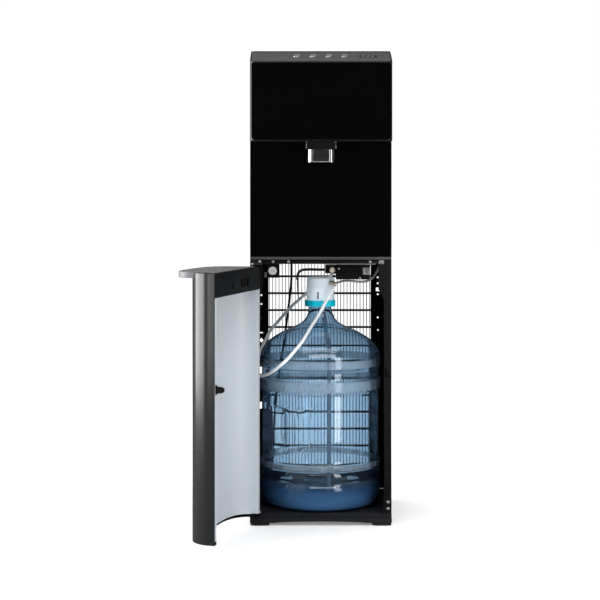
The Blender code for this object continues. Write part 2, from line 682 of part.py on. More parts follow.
VENT_ROUTE = [
    (0.0375, 0.1180, 0.5230),
    (0.0420, 0.1060, 0.5250),
    (0.0520, 0.0850, 0.5290),
    (0.0680, 0.0680, 0.5300),
    (0.0850, 0.0600, 0.5288),
    (0.1000, 0.0600, 0.5294),
    (0.1140, 0.0600, 0.5355),
    (0.1235, 0.0610, 0.5480),
    (0.1300, 0.0630, 0.5630),
    (0.1330, 0.0640, 0.5802),
]
HARNESS_ROUTE = [
    (-0.0665, 0.2900, 0.5806),
    (-0.0665, 0.2900, 0.5500),
    (-0.0668, 0.2900, 0.5200),
    (-0.0715, 0.2905, 0.4720),
    (-0.0750, 0.2905, 0.4460),
    (-0.0790, 0.2910, 0.4130),
    (-0.0866, 0.2910, 0.3650),
    (-0.0965, 0.2910, 0.3050),
    (-0.1056, 0.2910, 0.2470),
    (-0.1127, 0.2905, 0.1650),
    (-0.1150, 0.2900, 0.1000),
    (-0.1160, 0.2880, 0.0550),
    (-0.1160, 0.2860, 0.0253),
]
CONDUIT_ROUTE = [
    (0.0099, 0.0600, 0.5556),
    (-0.0050, 0.0600, 0.5556),
    (-0.0250, 0.0600, 0.5560),
    (-0.0400, 0.0600, 0.5550),
    (-0.0480, 0.0600, 0.5500),
    (-0.0510, 0.0610, 0.5420),
    (-0.0515, 0.0625, 0.5330),
]


def pump():
    """The suction pump in its box under the ceiling, with its hanger, fitting and hoses."""
    black = material("pump_black", (0.02, 0.02, 0.023), 0.45)
    obj = node("pump", box((0.034, 0.0250, 0.5357), (0.108, 0.0950, 0.5680)), black)
    join(obj, box((0.0104, 0.0450, 0.5480), (0.0345, 0.0800, 0.5655)))
    steel = material("hanger_steel", (0.55, 0.56, 0.57), 0.35, 0.8)
    hanger = node("pump_hanger", box((0.010, 0.0200, 0.5685), (0.121, 0.1000, 0.5697)), steel)
    join(hanger, box((0.010, 0.0988, 0.5685), (0.121, 0.1000, 0.5805)))
    beige = material("fitting_beige", (0.62, 0.58, 0.46), 0.45)
    node("pump_fitting", rod((0.0262, 0.0447, 0.5560), (0.0262, 0.0330, 0.5560), 0.0065), beige)
    sleeve = material("conduit_black", (0.015, 0.015, 0.016), 0.5)
    tube("pump_conduit", smooth_path(CONDUIT_ROUTE, 0.008), 0.0030, sleeve, 2)
    white = material("hose_white", (0.85, 0.86, 0.86), 0.4)
    tube("supply_hose", smooth_path(SUPPLY_ROUTE, 0.0145), 0.0035, white, 2)
    grey = material("hose_grey", (0.35, 0.35, 0.36), 0.4)
    tube("vent_hose", smooth_path(VENT_ROUTE, 0.0085), 0.0026, grey, 2)
    dark = material("cable_black", (0.012, 0.012, 0.013), 0.5)
    tube("harness_cable", smooth_path(HARNESS_ROUTE, 0.018), 0.0028, dark, 2)


def door_switch():
    """Door switch over the bottle: housing with a sprung round plunger."""
    black = material("switch_black", (0.015, 0.015, 0.016), 0.4)
    x, z = SWITCH_CENTRE
    housing = node("door_switch_housing", box((-0.119, 0.0060, 0.5405), (-0.0907, 0.0280, 0.5705)), black)
    cut(housing, rod((x, 0.0040, z), (x, 0.0250, z), 0.0044, 16))
    white = material("plunger_white", (0.75, 0.76, 0.77), 0.35)
    disc = rod((0, 0, 0), (0, 0.0042, 0), 0.0092, 28)
    plunger = node("door_switch_plunger", disc, white, location=(x, -0.0012, z))
    join(plunger, rod((0, 0.0040, 0), (0, 0.0180, 0), 0.0040, 16))


SWITCH_CENTRE = (-0.1054, 0.5560)


# Cooling and heating -------------------------------------------------------------------------------------


def condenser():
    """Wire-on-tube condenser on the open back: one snaking tube between two layers of upright wires."""
    black = material("condenser_black", (0.015, 0.015, 0.016), 0.45, 0.3)
    bend = CONDENSER_PITCH / 2
    reach = CONDENSER_HALF_W - bend
    path = [(-reach - bend, CONDENSER_LOW_Z)]
    for run in range(CONDENSER_RUNS):
        z = CONDENSER_LOW_Z + CONDENSER_PITCH * run
        side = 1 if run % 2 == 0 else -1
        path.append((-side * reach, z) if run else (-reach, z))
        path.append((side * reach, z))
        if run < CONDENSER_RUNS - 1:
            for k in range(1, 6):
                t = math.pi * k / 6 - math.pi / 2
                path.append((side * (reach + bend * math.cos(t)), z + bend + bend * math.sin(t)))
    tube("condenser_tube", [(x, CONDENSER_Y, z) for x, z in path], CONDENSER_TUBE_R, black, 1)
    span = WIRE_PITCH * (WIRE_COUNT - 1) / 2
    low, high = 0.076, CONDENSER_LOW_Z + CONDENSER_PITCH * (CONDENSER_RUNS - 1) + 0.012
    edges = []
    for k in range(WIRE_COUNT):
        x = -span + WIRE_PITCH * k
        edges += [x - WIRE_W / 2, x + WIRE_W / 2]
    levels = (low, low + 0.006, high - 0.006, high)
    depth = CONDENSER_TUBE_R + GAP
    for name, y0, y1 in (
        ("condenser_wires_front", CONDENSER_Y - depth - WIRE_W, CONDENSER_Y - depth),
        ("condenser_wires_rear", CONDENSER_Y + depth, CONDENSER_Y + depth + WIRE_W),
    ):
        bm = bmesh.new()
        grid = [[bm.verts.new((x, y0, z)) for x in edges] for z in levels]
        for row in range(3):
            for col in range(len(edges) - 1):
                if row == 1 and col % 2:
                    continue
                below, above = grid[row], grid[row + 1]
                bm.faces.new((below[col], below[col + 1], above[col + 1], above[col]))
        pushed = bmesh.ops.extrude_face_region(bm, geom=bm.faces[:])
        moved = [item for item in pushed["geom"] if isinstance(item, bmesh.types.BMVert)]
        bmesh.ops.translate(bm, verts=moved, vec=(0, y1 - y0, 0))
        bmesh.ops.recalc_face_normals(bm, faces=bm.faces)
        node(name, bm, black)


def cooling():
    """Compressor, drier, cold tank in its insulation and the shelf that carries it."""
    black = material("compressor_black", (0.02, 0.02, 0.021), 0.4, 0.4)
    low = CEILING_Z + SHEET + GAP
    shape = [(0, low), (0.045, low), (0.045, low + 0.006), (0.054, low + 0.014), (0.055, low + 0.055)]
    shape += [(0.057, low + 0.058), (0.057, low + 0.064), (0.055, low + 0.067), (0.054, low + 0.110)]
    shape += [(0.042, low + 0.132), (0.018, low + 0.142), (0, low + 0.144)]
    node("compressor", turned(shape, (0.075, 0.190), 28), black)
    brass = material("drier_copper", (0.65, 0.38, 0.22), 0.35, 1.0)
    drier = [(0, 0.630), (0.003, 0.630), (0.009, 0.640), (0.009, 0.725), (0.003, 0.735), (0, 0.735)]
    node("filter_drier", turned(drier, (0.135, 0.262), 16), brass)
    steel = material("shelf_steel", (0.50, 0.51, 0.52), 0.4, 0.8)
    half = HALF_W - SHEET - GAP - 0.001
    shelf_z = 0.775
    node("machine_shelf", box((-half, 0.004, shelf_z), (half, CABINET_D - 0.004, shelf_z + SHEET)), steel)
    foam = material("insulation_foam", (0.80, 0.80, 0.78), 0.9)
    z0, z1 = shelf_z + SHEET + GAP, 0.965
    cup = [(0, z0), (0.086, z0), (0.086, z1), (0.0663, z1), (0.0663, z0 + 0.018), (0, z0 + 0.018)]
    node("cold_tank_insulation", turned(cup, (0, 0.170), 32), foam)
    bright = material("tank_steel", (0.70, 0.71, 0.72), 0.25, 1.0)
    t0, t1 = z0 + 0.0183, z1 - 0.006
    tank = [(0, t0), (0.066, t0), (0.066, t1), (0.012, t1), (0.012, t1 - 0.0015), (0.0645, t1 - 0.0015)]
    tank += [(0.0645, t0 + 0.0015), (0, t0 + 0.0015)]
    node("cold_tank", turned(tank, (0, 0.170), 32), bright)


def heating():
    """Hot tank with its drain spout through the rear panel, and the screw cap on the spout."""
    bright = material("hot_steel", (0.68, 0.69, 0.70), 0.3, 1.0)
    low = CEILING_Z + SHEET + GAP + 0.004
    high = low + 0.165
    wall = 0.0015
    shape = [(0, low), (0.045, low), (0.045, high), (0.008, high), (0.008, high - wall)]
    shape += [(0.045 - wall, high - wall), (0.045 - wall, low + wall), (0, low + wall)]
    tank = node("hot_tank", turned(shape, (DRAIN_X, 0.200), 28), bright)
    join(tank, rod((DRAIN_X, 0.2440, DRAIN_Z), (DRAIN_X, 0.3120, DRAIN_Z), 0.0055, 16))
    black = material("drain_cap_black", (0.02, 0.02, 0.022), 0.45)
    knob = rod((0, 0, 0), (0, 0.0150, 0), 0.0120, 24)
    cap = node("drain_cap", knob, black, location=(DRAIN_X, 0.3020, DRAIN_Z))
    cut(cap, rod((0, -0.003, 0), (0, 0.0110, 0), 0.0059, 16))
    grey = material("gland_black", (0.02, 0.02, 0.021), 0.5)
    gland = node("cord_gland", rod((GLAND_X, 0.2950, GLAND_Z), (GLAND_X, 0.3020, GLAND_Z), 0.0058, 16), grey)
    join(gland, rod((GLAND_X, 0.3018, GLAND_Z), (GLAND_X, 0.3045, GLAND_Z), 0.0095, 20))
    join(gland, rod((GLAND_X, 0.3040, GLAND_Z), (GLAND_X, 0.3140, GLAND_Z), 0.0062, 16))


DRAIN_X, DRAIN_Z = -0.085, 0.6050
GLAND_X, GLAND_Z = 0.105, 0.6080
SWITCH_X = {"rocker_switch_cold": 0.078, "rocker_switch_hot": 0.106}
SWITCH_Z = 0.900
ROCKER_TILT = math.radians(8)


def rockers():
    """Heating and cooling switches at the back, each a rocker on its own cross axis."""
    for name, x in SWITCH_X.items():
        colour = (0.5, 0.02, 0.02) if name.endswith("hot") else (0.02, 0.25, 0.06)
        outline = [(-0.0050, -0.0085), (0.0040, -0.0095), (0.0030, 0.0), (0.0040, 0.0095), (-0.0050, 0.0085)]
        shape = prism(outline, -0.0065, 0.0065, "X")
        made = material(name.replace("rocker_switch", "rocker"), colour, 0.35)
        node(name, shape, made, location=(x, CABINET_D + 0.0010, SWITCH_Z), rotation=(-ROCKER_TILT, 0, 0))


base_tray()
side_panels()
front_frame()
splash()
rear_panel()
visor()
controls()
nozzle()
door_nodes()
tray()
hinges()
bottle()
bottle_cap()
pump()
door_switch()
condenser()
cooling()
heating()
rockers()
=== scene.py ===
"""Looks of the bottom-loading water dispenser: fine shapes, materials, hoses, camera and studio light."""

import json
import math

import bmesh
import bpy
from mathutils import Matrix, Vector

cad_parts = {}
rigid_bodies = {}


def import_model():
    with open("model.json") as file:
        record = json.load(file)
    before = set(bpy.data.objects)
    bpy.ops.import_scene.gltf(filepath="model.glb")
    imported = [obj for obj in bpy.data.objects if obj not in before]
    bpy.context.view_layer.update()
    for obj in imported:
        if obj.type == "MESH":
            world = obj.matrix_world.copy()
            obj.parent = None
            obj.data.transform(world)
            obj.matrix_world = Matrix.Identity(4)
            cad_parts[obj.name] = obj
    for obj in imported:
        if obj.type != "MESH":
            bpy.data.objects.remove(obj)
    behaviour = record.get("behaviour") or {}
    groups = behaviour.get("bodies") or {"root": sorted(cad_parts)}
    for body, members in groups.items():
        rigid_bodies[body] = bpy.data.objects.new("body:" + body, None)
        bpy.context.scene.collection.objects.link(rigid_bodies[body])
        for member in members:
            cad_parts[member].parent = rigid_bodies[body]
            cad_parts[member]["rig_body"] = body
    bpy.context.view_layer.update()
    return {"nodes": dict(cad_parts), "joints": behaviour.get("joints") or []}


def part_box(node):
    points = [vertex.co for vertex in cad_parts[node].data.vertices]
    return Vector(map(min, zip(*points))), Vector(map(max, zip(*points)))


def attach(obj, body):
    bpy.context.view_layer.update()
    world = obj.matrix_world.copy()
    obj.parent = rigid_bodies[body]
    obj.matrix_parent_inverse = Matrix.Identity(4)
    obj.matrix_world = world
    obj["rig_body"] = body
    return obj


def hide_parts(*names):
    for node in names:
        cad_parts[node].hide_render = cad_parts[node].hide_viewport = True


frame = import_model()

# The cabinet's own frame: X = 0 on its middle, Y = 0 on its front flanges, Z = 0 on the floor.
NODES = frame["nodes"]
JOINTS = {joint["name"]: joint for joint in frame["joints"]}
MID_X = sum(corner.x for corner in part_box("splash_panel")) / 2
FRONT_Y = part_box("side_panel_left")[0].y
TO_WORLD = Matrix.Translation((MID_X, FRONT_Y, 0))
HINGE = Vector(JOINTS["door_hinge"]["pos_m"]) - Vector((MID_X, FRONT_Y, 0))
DOOR_OPEN = math.radians(JOINTS["door_hinge"]["range_deg"][1])
TO_DOOR = (
    TO_WORLD
    @ Matrix.Translation((HINGE.x, HINGE.y, 0))
    @ Matrix.Rotation(-DOOR_OPEN, 4, "Z")
    @ Matrix.Translation((-HINGE.x, -HINGE.y, 0))
)


def box_of(node):
    """A node's lowest and highest corners in the cabinet's frame."""
    return [corner - Vector((MID_X, FRONT_Y, 0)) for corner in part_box(node)]


def middle_of(node):
    """X and Z of a node's middle in the cabinet's frame."""
    low, high = box_of(node)
    return (low.x + high.x) / 2, (low.z + high.z) / 2


def placed(name, data):
    """A new object in the scene."""
    obj = bpy.data.objects.new(name, data)
    bpy.context.scene.collection.objects.link(obj)
    return obj


def mesh_of(name, bm):
    """The mesh of a finished bmesh."""
    mesh = bpy.data.meshes.new(name)
    bm.to_mesh(mesh)
    bm.free()
    return mesh


# Camera ----------------------------------------

CAMERA_BACK = 3.600
CAMERA_SIDE = -0.0346
CAMERA_HIGH = 0.744
LENS = 98.67
SHIFT = (-0.0083, -0.1917)


def camera():
    """A long lens, level and a little left of the middle, as in the photo."""
    data = bpy.data.cameras.new("camera")
    data.sensor_width = 36
    data.lens = LENS
    data.shift_x, data.shift_y = SHIFT
    obj = placed("camera", data)
    obj.location = TO_WORLD @ Vector((CAMERA_SIDE, -CAMERA_BACK, CAMERA_HIGH))
    obj.rotation_euler = (math.radians(90), 0, 0)
    bpy.context.scene.camera = obj


# Studio ----------------------------------------


def area_light(name, place, target, size, power):
    """A soft box, seen only by what it lights."""
    data = bpy.data.lights.new(name, "AREA")
    data.shape = "RECTANGLE"
    data.size, data.size_y = size
    data.energy = power
    obj = placed(name, data)
    obj.location = place
    obj.rotation_euler = (Vector(target) - Vector(place)).to_track_quat("-Z", "Y").to_euler()
    obj.visible_camera = False


def studio():
    """A pale floor, a white surround that is dim in front of the machine, and five soft boxes."""
    bpy.context.scene.view_settings.view_transform = "Standard"
    surround()
    floor()
    area_light("strip_left", (-0.85, -1.15, 0.75), (MID_X, 0.1, 0.4), (0.30, 1.10), 3.5)
    area_light("strip_right", (MID_X + 0.50, -0.68, 0.45), (MID_X, 0.13, 0.45), (0.20, 0.80), 2.8)
    area_light("door_left", (-2.0, -0.15, 0.72), (-0.15, -0.15, 0.60), (2.0, 1.3), 72)
    area_light("front_high", (0.3, -2.9, 2.9), (MID_X, 0, 0.45), (3.4, 1.3), 62)
    area_light("overhead", (0.0, -0.3, 3.4), (0, 0, 0.4), (3.2, 2.6), 60)


def surround():
    """White to the camera, dim in front of the machine, and dimmer still where it is mirrored."""
    world = bpy.data.worlds.new("studio")
    bpy.context.scene.world = world
    world.use_nodes = True
    nodes = Nodes(world.node_tree)
    split = nodes.add("ShaderNodeSeparateXYZ")
    nodes.link(nodes.coords.outputs["Generated"], split.inputs[0])
    path = nodes.add("ShaderNodeLightPath")
    ramp = nodes.spread(split.outputs["Y"], 0.035, 1.0, -0.05, 0.60)
    mirrored = nodes.spread(path.outputs["Is Glossy Ray"], 1.0, 0.16, 0, 1)
    dimmed = nodes.maths("MULTIPLY", ramp, mirrored)
    back = nodes.tree.nodes["Background"]
    nodes.link(nodes.maths("MAXIMUM", path.outputs["Is Camera Ray"], dimmed), back.inputs["Strength"])
    back.inputs["Color"].default_value = (1, 1, 1, 1)


def floor():
    """A wide floor that glows more with distance, so that it meets the surround without an edge."""
    bm = bmesh.new()
    bmesh.ops.create_grid(bm, x_segments=1, y_segments=1, size=9, matrix=Matrix.Translation((0, 7.0, 0)))
    mesh = mesh_of("floor", bm)
    pale = bpy.data.materials.new("floor_pale")
    pale.use_nodes = True
    nodes = Nodes(pale.node_tree)
    nodes.set({"Base Color": (0.90, 0.90, 0.90, 1), "Roughness": 0.85, "Specular IOR Level": 0.1,
               "Emission Color": (1, 1, 1, 1)})
    reach = nodes.add("ShaderNodeVectorMath", operation="LENGTH")
    nodes.link(nodes.place, reach.inputs[0])
    nodes.link(nodes.spread(reach.outputs["Value"], 0.22, 0.75, 0.3, 1.6),
               nodes.shader.inputs["Emission Strength"])
    mesh.materials.append(pale)
    obj = placed("floor", mesh)
    obj.visible_glossy = False


# Materials ----------------------------------------


class Nodes:
    """Adds shader nodes to a node tree, one call for each."""

    def __init__(self, tree):
        self.tree = tree
        self.shader = tree.nodes.get("Principled BSDF")
        self.coords = self.add("ShaderNodeTexCoord")
        self.place = self.coords.outputs["Object"]

    def set(self, values):
        for socket, value in values.items():
            self.shader.inputs[socket].default_value = value

    def add(self, kind, **values):
        made = self.tree.nodes.new(kind)
        for name, value in values.items():
            setattr(made, name, value)
        return made

    def link(self, start, end):
        self.tree.links.new(start, end)

    def stretched(self, scale):
        mapping = self.add("ShaderNodeMapping")
        mapping.inputs["Scale"].default_value = scale
        self.link(self.place, mapping.inputs["Vector"])
        return mapping.outputs["Vector"]

    def noise(self, scale, detail=4.0, stretch=None, rough=0.55):
        made = self.add("ShaderNodeTexNoise")
        made.inputs["Scale"].default_value = scale
        made.inputs["Detail"].default_value = detail
        made.inputs["Roughness"].default_value = rough
        self.link(self.stretched(stretch) if stretch else self.place, made.inputs["Vector"])
        return made.outputs["Fac"]

    def spread(self, value, low, high, start=0.3, end=0.7):
        made = self.add("ShaderNodeMapRange")
        for name, number in (("From Min", start), ("From Max", end), ("To Min", low), ("To Max", high)):
            made.inputs[name].default_value = number
        self.link(value, made.inputs["Value"])
        return made.outputs["Result"]

    def between(self, value, first, second):
        made = self.add("ShaderNodeMix", data_type="RGBA")
        made.inputs[6].default_value = (*first, 1)
        made.inputs[7].default_value = (*second, 1)
        self.link(value, made.inputs[0])
        return made.outputs[2]

    def maths(self, operation, first, second):
        made = self.add("ShaderNodeMath", operation=operation)
        self.link(first, made.inputs[0])
        self.link(second, made.inputs[1])
        return made.outputs[0]

    def bump(self, height, strength, distance):
        made = self.add("ShaderNodeBump")
        made.inputs["Strength"].default_value = strength
        made.inputs["Distance"].default_value = distance
        self.link(height, made.inputs["Height"])
        return made.outputs["Normal"]


DULL = {"Specular IOR Level": 0.3}
FINISHES = {
    "gloss_black": ((0.0018, 0.0018, 0.002), 0.05, dict(
        shade=0.6, grain=40, depth=0.000004, smudge=2.5, spread=0.45, sockets={"Specular IOR Level": 0.35})),
    "satin_grey": ((0.012, 0.0123, 0.013), 0.36, dict(grain=2600, depth=0.00006, spread=0.08, sockets=DULL)),
    "panel_grey": ((0.072, 0.073, 0.076), 0.34, dict(grain=2200, depth=0.00005, sockets=DULL)),
    "base_plastic": ((0.013, 0.014, 0.017), 0.50, dict(grain=1500, depth=0.0001, spread=0.1, sockets=DULL)),
    "moulded_black": ((0.005, 0.005, 0.0055), 0.42, dict(
        grain=1800, depth=0.00008, spread=0.1, sockets={"Specular IOR Level": 0.12})),
    "coated_black": ((0.0035, 0.0035, 0.004), 0.44, dict(
        grain=1300, depth=0.00007, spread=0.05, sockets={"Specular IOR Level": 0.2})),
    "door_steel": ((0.020, 0.0202, 0.021), 0.23, dict(
        metal=0.15, shade=0.88, grain=700, depth=0.00002, stretch=(1, 1, 0.02), smudge=2.0)),
    "liner_pale": ((0.54, 0.585, 0.63), 0.42, dict(shade=0.93, grain=1100, depth=0.00005)),
    "tray_grey": ((0.16, 0.163, 0.17), 0.45, dict(grain=2000, depth=0.00006, sockets=DULL)),
    "grid_metal": ((0.19, 0.193, 0.20), 0.50, dict(
        shade=0.85, grain=1400, depth=0.00004, sockets={"Specular IOR Level": 0.15})),
    "chrome": ((0.82, 0.83, 0.85), 0.13, dict(metal=1.0, shade=0.95, depth=0, smudge=9)),
    "zinc": ((0.55, 0.56, 0.58), 0.33, dict(metal=0.95, shade=0.8, grain=400, smudge=30)),
    "ceiling_steel": ((0.16, 0.165, 0.175), 0.42, dict(metal=0.8, shade=0.8, grain=500)),
    "trim_grey": ((0.075, 0.077, 0.08), 0.36, dict(metal=0.35)),
    "hanger_steel": ((0.50, 0.51, 0.53), 0.3, dict(metal=0.9, shade=0.8, grain=500)),
    "button_metal": ((0.42, 0.425, 0.44), 0.30, dict(
        metal=0.85, shade=0.85, grain=600, depth=0.00001, smudge=80)),
    "indicator_pale": ((0.16, 0.165, 0.17), 0.4, dict(shade=0.8, depth=0.00002, smudge=60)),
    "plunger_grey": ((0.42, 0.43, 0.44), 0.34, dict(shade=0.85, smudge=60)),
    # The cap's emission is painted light: a glow that brightens the cap as if lit through. It is no lamp.
    "milky_painted_glow": ((0.80, 0.90, 0.97), 0.30, dict(shade=0.95, grain=500, depth=0.00002, sockets={
        "Subsurface Weight": 0.6, "Subsurface Radius": (1, 1, 1), "Subsurface Scale": 0.006,
        "Emission Strength": 0.24, "Emission Color": (0.75, 0.88, 1.0, 1)})),
    "cyan": ((0.0, 0.74, 1.0), 0.30, dict(shade=0.9, grain=600, depth=0.00002)),
    "beige": ((0.62, 0.58, 0.46), 0.42, dict(shade=0.85, depth=0.00004)),
    # The hose's emission is painted light: a faint glow that brightens the hose where it lies in shade. It is
    # no lamp.
    "hose_white": ((0.93, 0.935, 0.94), 0.34, dict(shade=0.93, grain=500, depth=0.00002, sockets={
        "Subsurface Weight": 0.5, "Subsurface Radius": (1, 1, 1), "Subsurface Scale": 0.004,
        "Emission Strength": 0.10, "Emission Color": (0.88, 0.93, 1.0, 1)})),
    "hose_grey": ((0.38, 0.38, 0.39), 0.35, dict(shade=0.85, grain=500, depth=0.00002)),
    "clear_tube": ((0.70, 0.80, 0.88), 0.22, dict(
        shade=0.92, grain=200, depth=0.00002, sockets={"Transmission Weight": 0.45, "IOR": 1.2})),
    "rubber_black": ((0.012, 0.012, 0.013), 0.5, dict(grain=1400, depth=0.00006)),
    "lacquer_black": ((0.010, 0.010, 0.011), 0.36, dict(grain=300, depth=0.00008, smudge=20)),
    "white_plastic": ((0.74, 0.75, 0.76), 0.34, dict(shade=0.92)),
    "copper": ((0.72, 0.38, 0.24), 0.28, dict(metal=1.0, shade=0.8, grain=400, smudge=20)),
    "foam": ((0.78, 0.77, 0.72), 0.9, dict(shade=0.88, grain=700, depth=0.0004)),
    "board": ((0.02, 0.13, 0.06), 0.45, dict(shade=0.7, grain=500, smudge=40)),
    "tank_steel": ((0.60, 0.61, 0.62), 0.26, dict(metal=1.0, shade=0.85, grain=500, stretch=(1, 1, 0.05))),
    "rocker_red": ((0.42, 0.012, 0.012), 0.3, dict(shade=0.8, smudge=60)),
    "rocker_green": ((0.015, 0.20, 0.05), 0.3, dict(shade=0.8, smudge=60)),
}
MADE = {}


def finish(look):
    """The material of that name, made the first time that it is asked for."""
    if look not in MADE:
        made = bpy.data.materials.new(look)
        made.use_nodes = True
        nodes = Nodes(made.node_tree)
        if look == "blue_glass":
            blue_glass(nodes)
        else:
            colour, rough, settings = FINISHES[look]
            surface(nodes, colour, rough, **settings)
        MADE[look] = made
    return MADE[look]


def surface(nodes, colour, rough, metal=0.0, shade=0.75, grain=900.0, depth=0.00003, smudge=6.0,
            stretch=None, spread=0.25, sockets=None):
    """A surface with colour drift, smudged roughness and a fine grain."""
    drift = nodes.spread(nodes.noise(smudge, 5), 0, 1)
    nodes.link(nodes.between(drift, [c * shade for c in colour], colour), nodes.shader.inputs["Base Color"])
    patch = nodes.noise(smudge * 3.1, 6, stretch)
    nodes.link(nodes.spread(patch, rough * (1 - spread), rough * (1 + spread)),
               nodes.shader.inputs["Roughness"])
    if depth:
        nodes.link(nodes.bump(nodes.noise(grain, 2, stretch), 0.35, depth), nodes.shader.inputs["Normal"])
    nodes.set({"Metallic": metal, **(sockets or {})})


RIB_BANDS = ((0.113, 0.129), (0.285, 0.312), (0.337, 0.358))


def blue_glass(nodes):
    """Clear blue polycarbonate, uneven as blown plastic is; its ribs are rougher and carry a pale diffuse haze
    that is partly scuffing and partly painted reflection, and it turns a darker deep blue towards the foot.
    """
    shader = nodes.shader
    height = nodes.add("ShaderNodeSeparateXYZ")
    nodes.link(nodes.place, height.inputs[0])
    # The rib-band mask stands for scuffing and also for painted reflection on the ribs.
    scuffs_and_sheen = None
    for low, high in RIB_BANDS:
        rise = nodes.spread(height.outputs["Z"], 0, 1, low, low + 0.004)
        fall = nodes.spread(height.outputs["Z"], 1, 0, high - 0.004, high)
        band = nodes.maths("MULTIPLY", rise, fall)
        scuffs_and_sheen = band if scuffs_and_sheen is None else nodes.maths("ADD", scuffs_and_sheen, band)
    sheen_breakup = nodes.spread(nodes.noise(60, 6, (1, 1, 0.3)), 0.45, 1.0)
    scuffs_and_sheen = nodes.maths("MULTIPLY", scuffs_and_sheen, sheen_breakup)
    drift = nodes.spread(nodes.noise(5, 3), 0, 1)
    nodes.link(nodes.between(drift, (0.59, 0.69, 0.74), (0.64, 0.74, 0.785)), shader.inputs["Base Color"])
    nodes.link(nodes.spread(scuffs_and_sheen, 0.02, 0.22, 0, 1), shader.inputs["Roughness"])
    nodes.link(nodes.bump(nodes.noise(9, 1), 0.02, 0.0006), shader.inputs["Normal"])
    nodes.set({"Transmission Weight": 1.0, "IOR": 1.55})
    # The pale haze on the ribs is partly a painted reflection. Towards the foot the haze is a darker deep blue.
    haze = nodes.add("ShaderNodeBsdfDiffuse")
    blend = nodes.add("ShaderNodeMixShader")
    foot = nodes.spread(height.outputs["Z"], 0.70, 0.0, 0.030, 0.094)
    haze_share = nodes.maths("MAXIMUM", nodes.spread(scuffs_and_sheen, 0.02, 0.42, 0, 1), foot)
    nodes.link(haze_share, blend.inputs[0])
    nodes.link(nodes.between(nodes.spread(foot, 0, 1, 0, 0.2), (0.38, 0.49, 0.60), (0.065, 0.180, 0.38)),
               haze.inputs["Color"])
    nodes.link(shader.outputs[0], blend.inputs[1])
    nodes.link(haze.outputs[0], blend.inputs[2])
    out = nodes.tree.nodes["Material Output"]
    nodes.link(blend.outputs[0], out.inputs["Surface"])
    absorb = nodes.add("ShaderNodeVolumeAbsorption")
    absorb.inputs["Color"].default_value = (0.02, 0.40, 0.77, 1)
    absorb.inputs["Density"].default_value = 190
    nodes.link(absorb.outputs[0], out.inputs["Volume"])


# Shapes ----------------------------------------


def prism(outline, low, high, along="Z"):
    """A flat outline, pushed from one level to another along an axis."""
    place = {"X": lambda a, b, level: (level, a, b), "Y": lambda a, b, level: (a, level, b), "Z": lambda a,
             b, level: (a, b, level)}[along]
    bm = bmesh.new()
    ends = [[bm.verts.new(place(a, b, level)) for a, b in outline] for level in (low, high)]
    for end in ends:
        bm.faces.new(end)
    count = len(outline)
    for i in range(count):
        j = (i + 1) % count
        bm.faces.new((ends[0][i], ends[0][j], ends[1][j], ends[1][i]))
    bmesh.ops.recalc_face_normals(bm, faces=bm.faces)
    return bm


def box(low, high):
    """A block between its lowest and highest corners."""
    bm = bmesh.new()
    size = [b - a for a, b in zip(low, high)]
    middle = [(a + b) / 2 for a, b in zip(low, high)]
    bmesh.ops.create_cube(bm, size=1, matrix=Matrix.Translation(middle) @ Matrix.Diagonal((*size, 1)))
    return bm


def rounded(x0, x1, y0, y1, radius, steps=10):
    """A rectangle's outline with round corners."""
    outline = []
    corners = ((x1 - radius, y1 - radius), (x0 + radius, y1 - radius), (x0 + radius, y0 + radius))
    corners += ((x1 - radius, y0 + radius),)
    for quarter, (cx, cy) in enumerate(corners):
        for k in range(steps + 1):
            t = math.pi / 2 * (quarter + k / steps)
            outline.append((cx + radius * math.cos(t), cy + radius * math.sin(t)))
    return outline


def turned(profile, at=(0, 0), segments=96, wave=None):
    """A closed profile of radius and height, turned about an upright axis through the point."""
    bm = bmesh.new()
    rings = []
    for index, (radius, height) in enumerate(profile):
        if radius == 0:
            rings.append([bm.verts.new((at[0], at[1], height))])
            continue
        ring = []
        for k in range(segments):
            t = 2 * math.pi * k / segments
            r = radius + (wave(index, t) if wave else 0)
            ring.append(bm.verts.new((at[0] + r * math.cos(t), at[1] + r * math.sin(t), height)))
        rings.append(ring)
    for here, after in zip(rings, rings[1:] + rings[:1]):
        for k in range(segments):
            n = (k + 1) % segments
            corners = [here[k % len(here)], here[n % len(here)], after[n % len(after)],
                       after[k % len(after)]]
            corners = list(dict.fromkeys(corners))
            if len(corners) > 2:
                bm.faces.new(corners)
    bmesh.ops.recalc_face_normals(bm, faces=bm.faces)
    return bm


def rod(start, end, radius, segments=24, radius_end=None):
    """A round bar between two points."""
    bm = bmesh.new()
    start, end = Vector(start), Vector(end)
    turn = (end - start).to_track_quat("Z", "Y").to_matrix().to_4x4()
    bmesh.ops.create_cone(
        bm,
        cap_ends=True,
        segments=segments,
        radius1=radius,
        radius2=radius if radius_end is None else radius_end,
        depth=(end - start).length,
        matrix=Matrix.Translation((start + end) / 2) @ turn,
    )
    return bm


def joined(*shapes):
    """Several shapes as one mesh of separate closed bodies."""
    whole = bmesh.new()
    for bm in shapes:
        mesh = mesh_of("part", bm)
        whole.from_mesh(mesh)
        bpy.data.meshes.remove(mesh)
    return whole


DOOR_BODIES = ("door", "drip_tray", "drip_grid")


def own(obj, node, body):
    """Puts an object on its body and hides the CAD node that it stands for, if one is given."""
    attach(obj, body)
    if node:
        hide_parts(node)


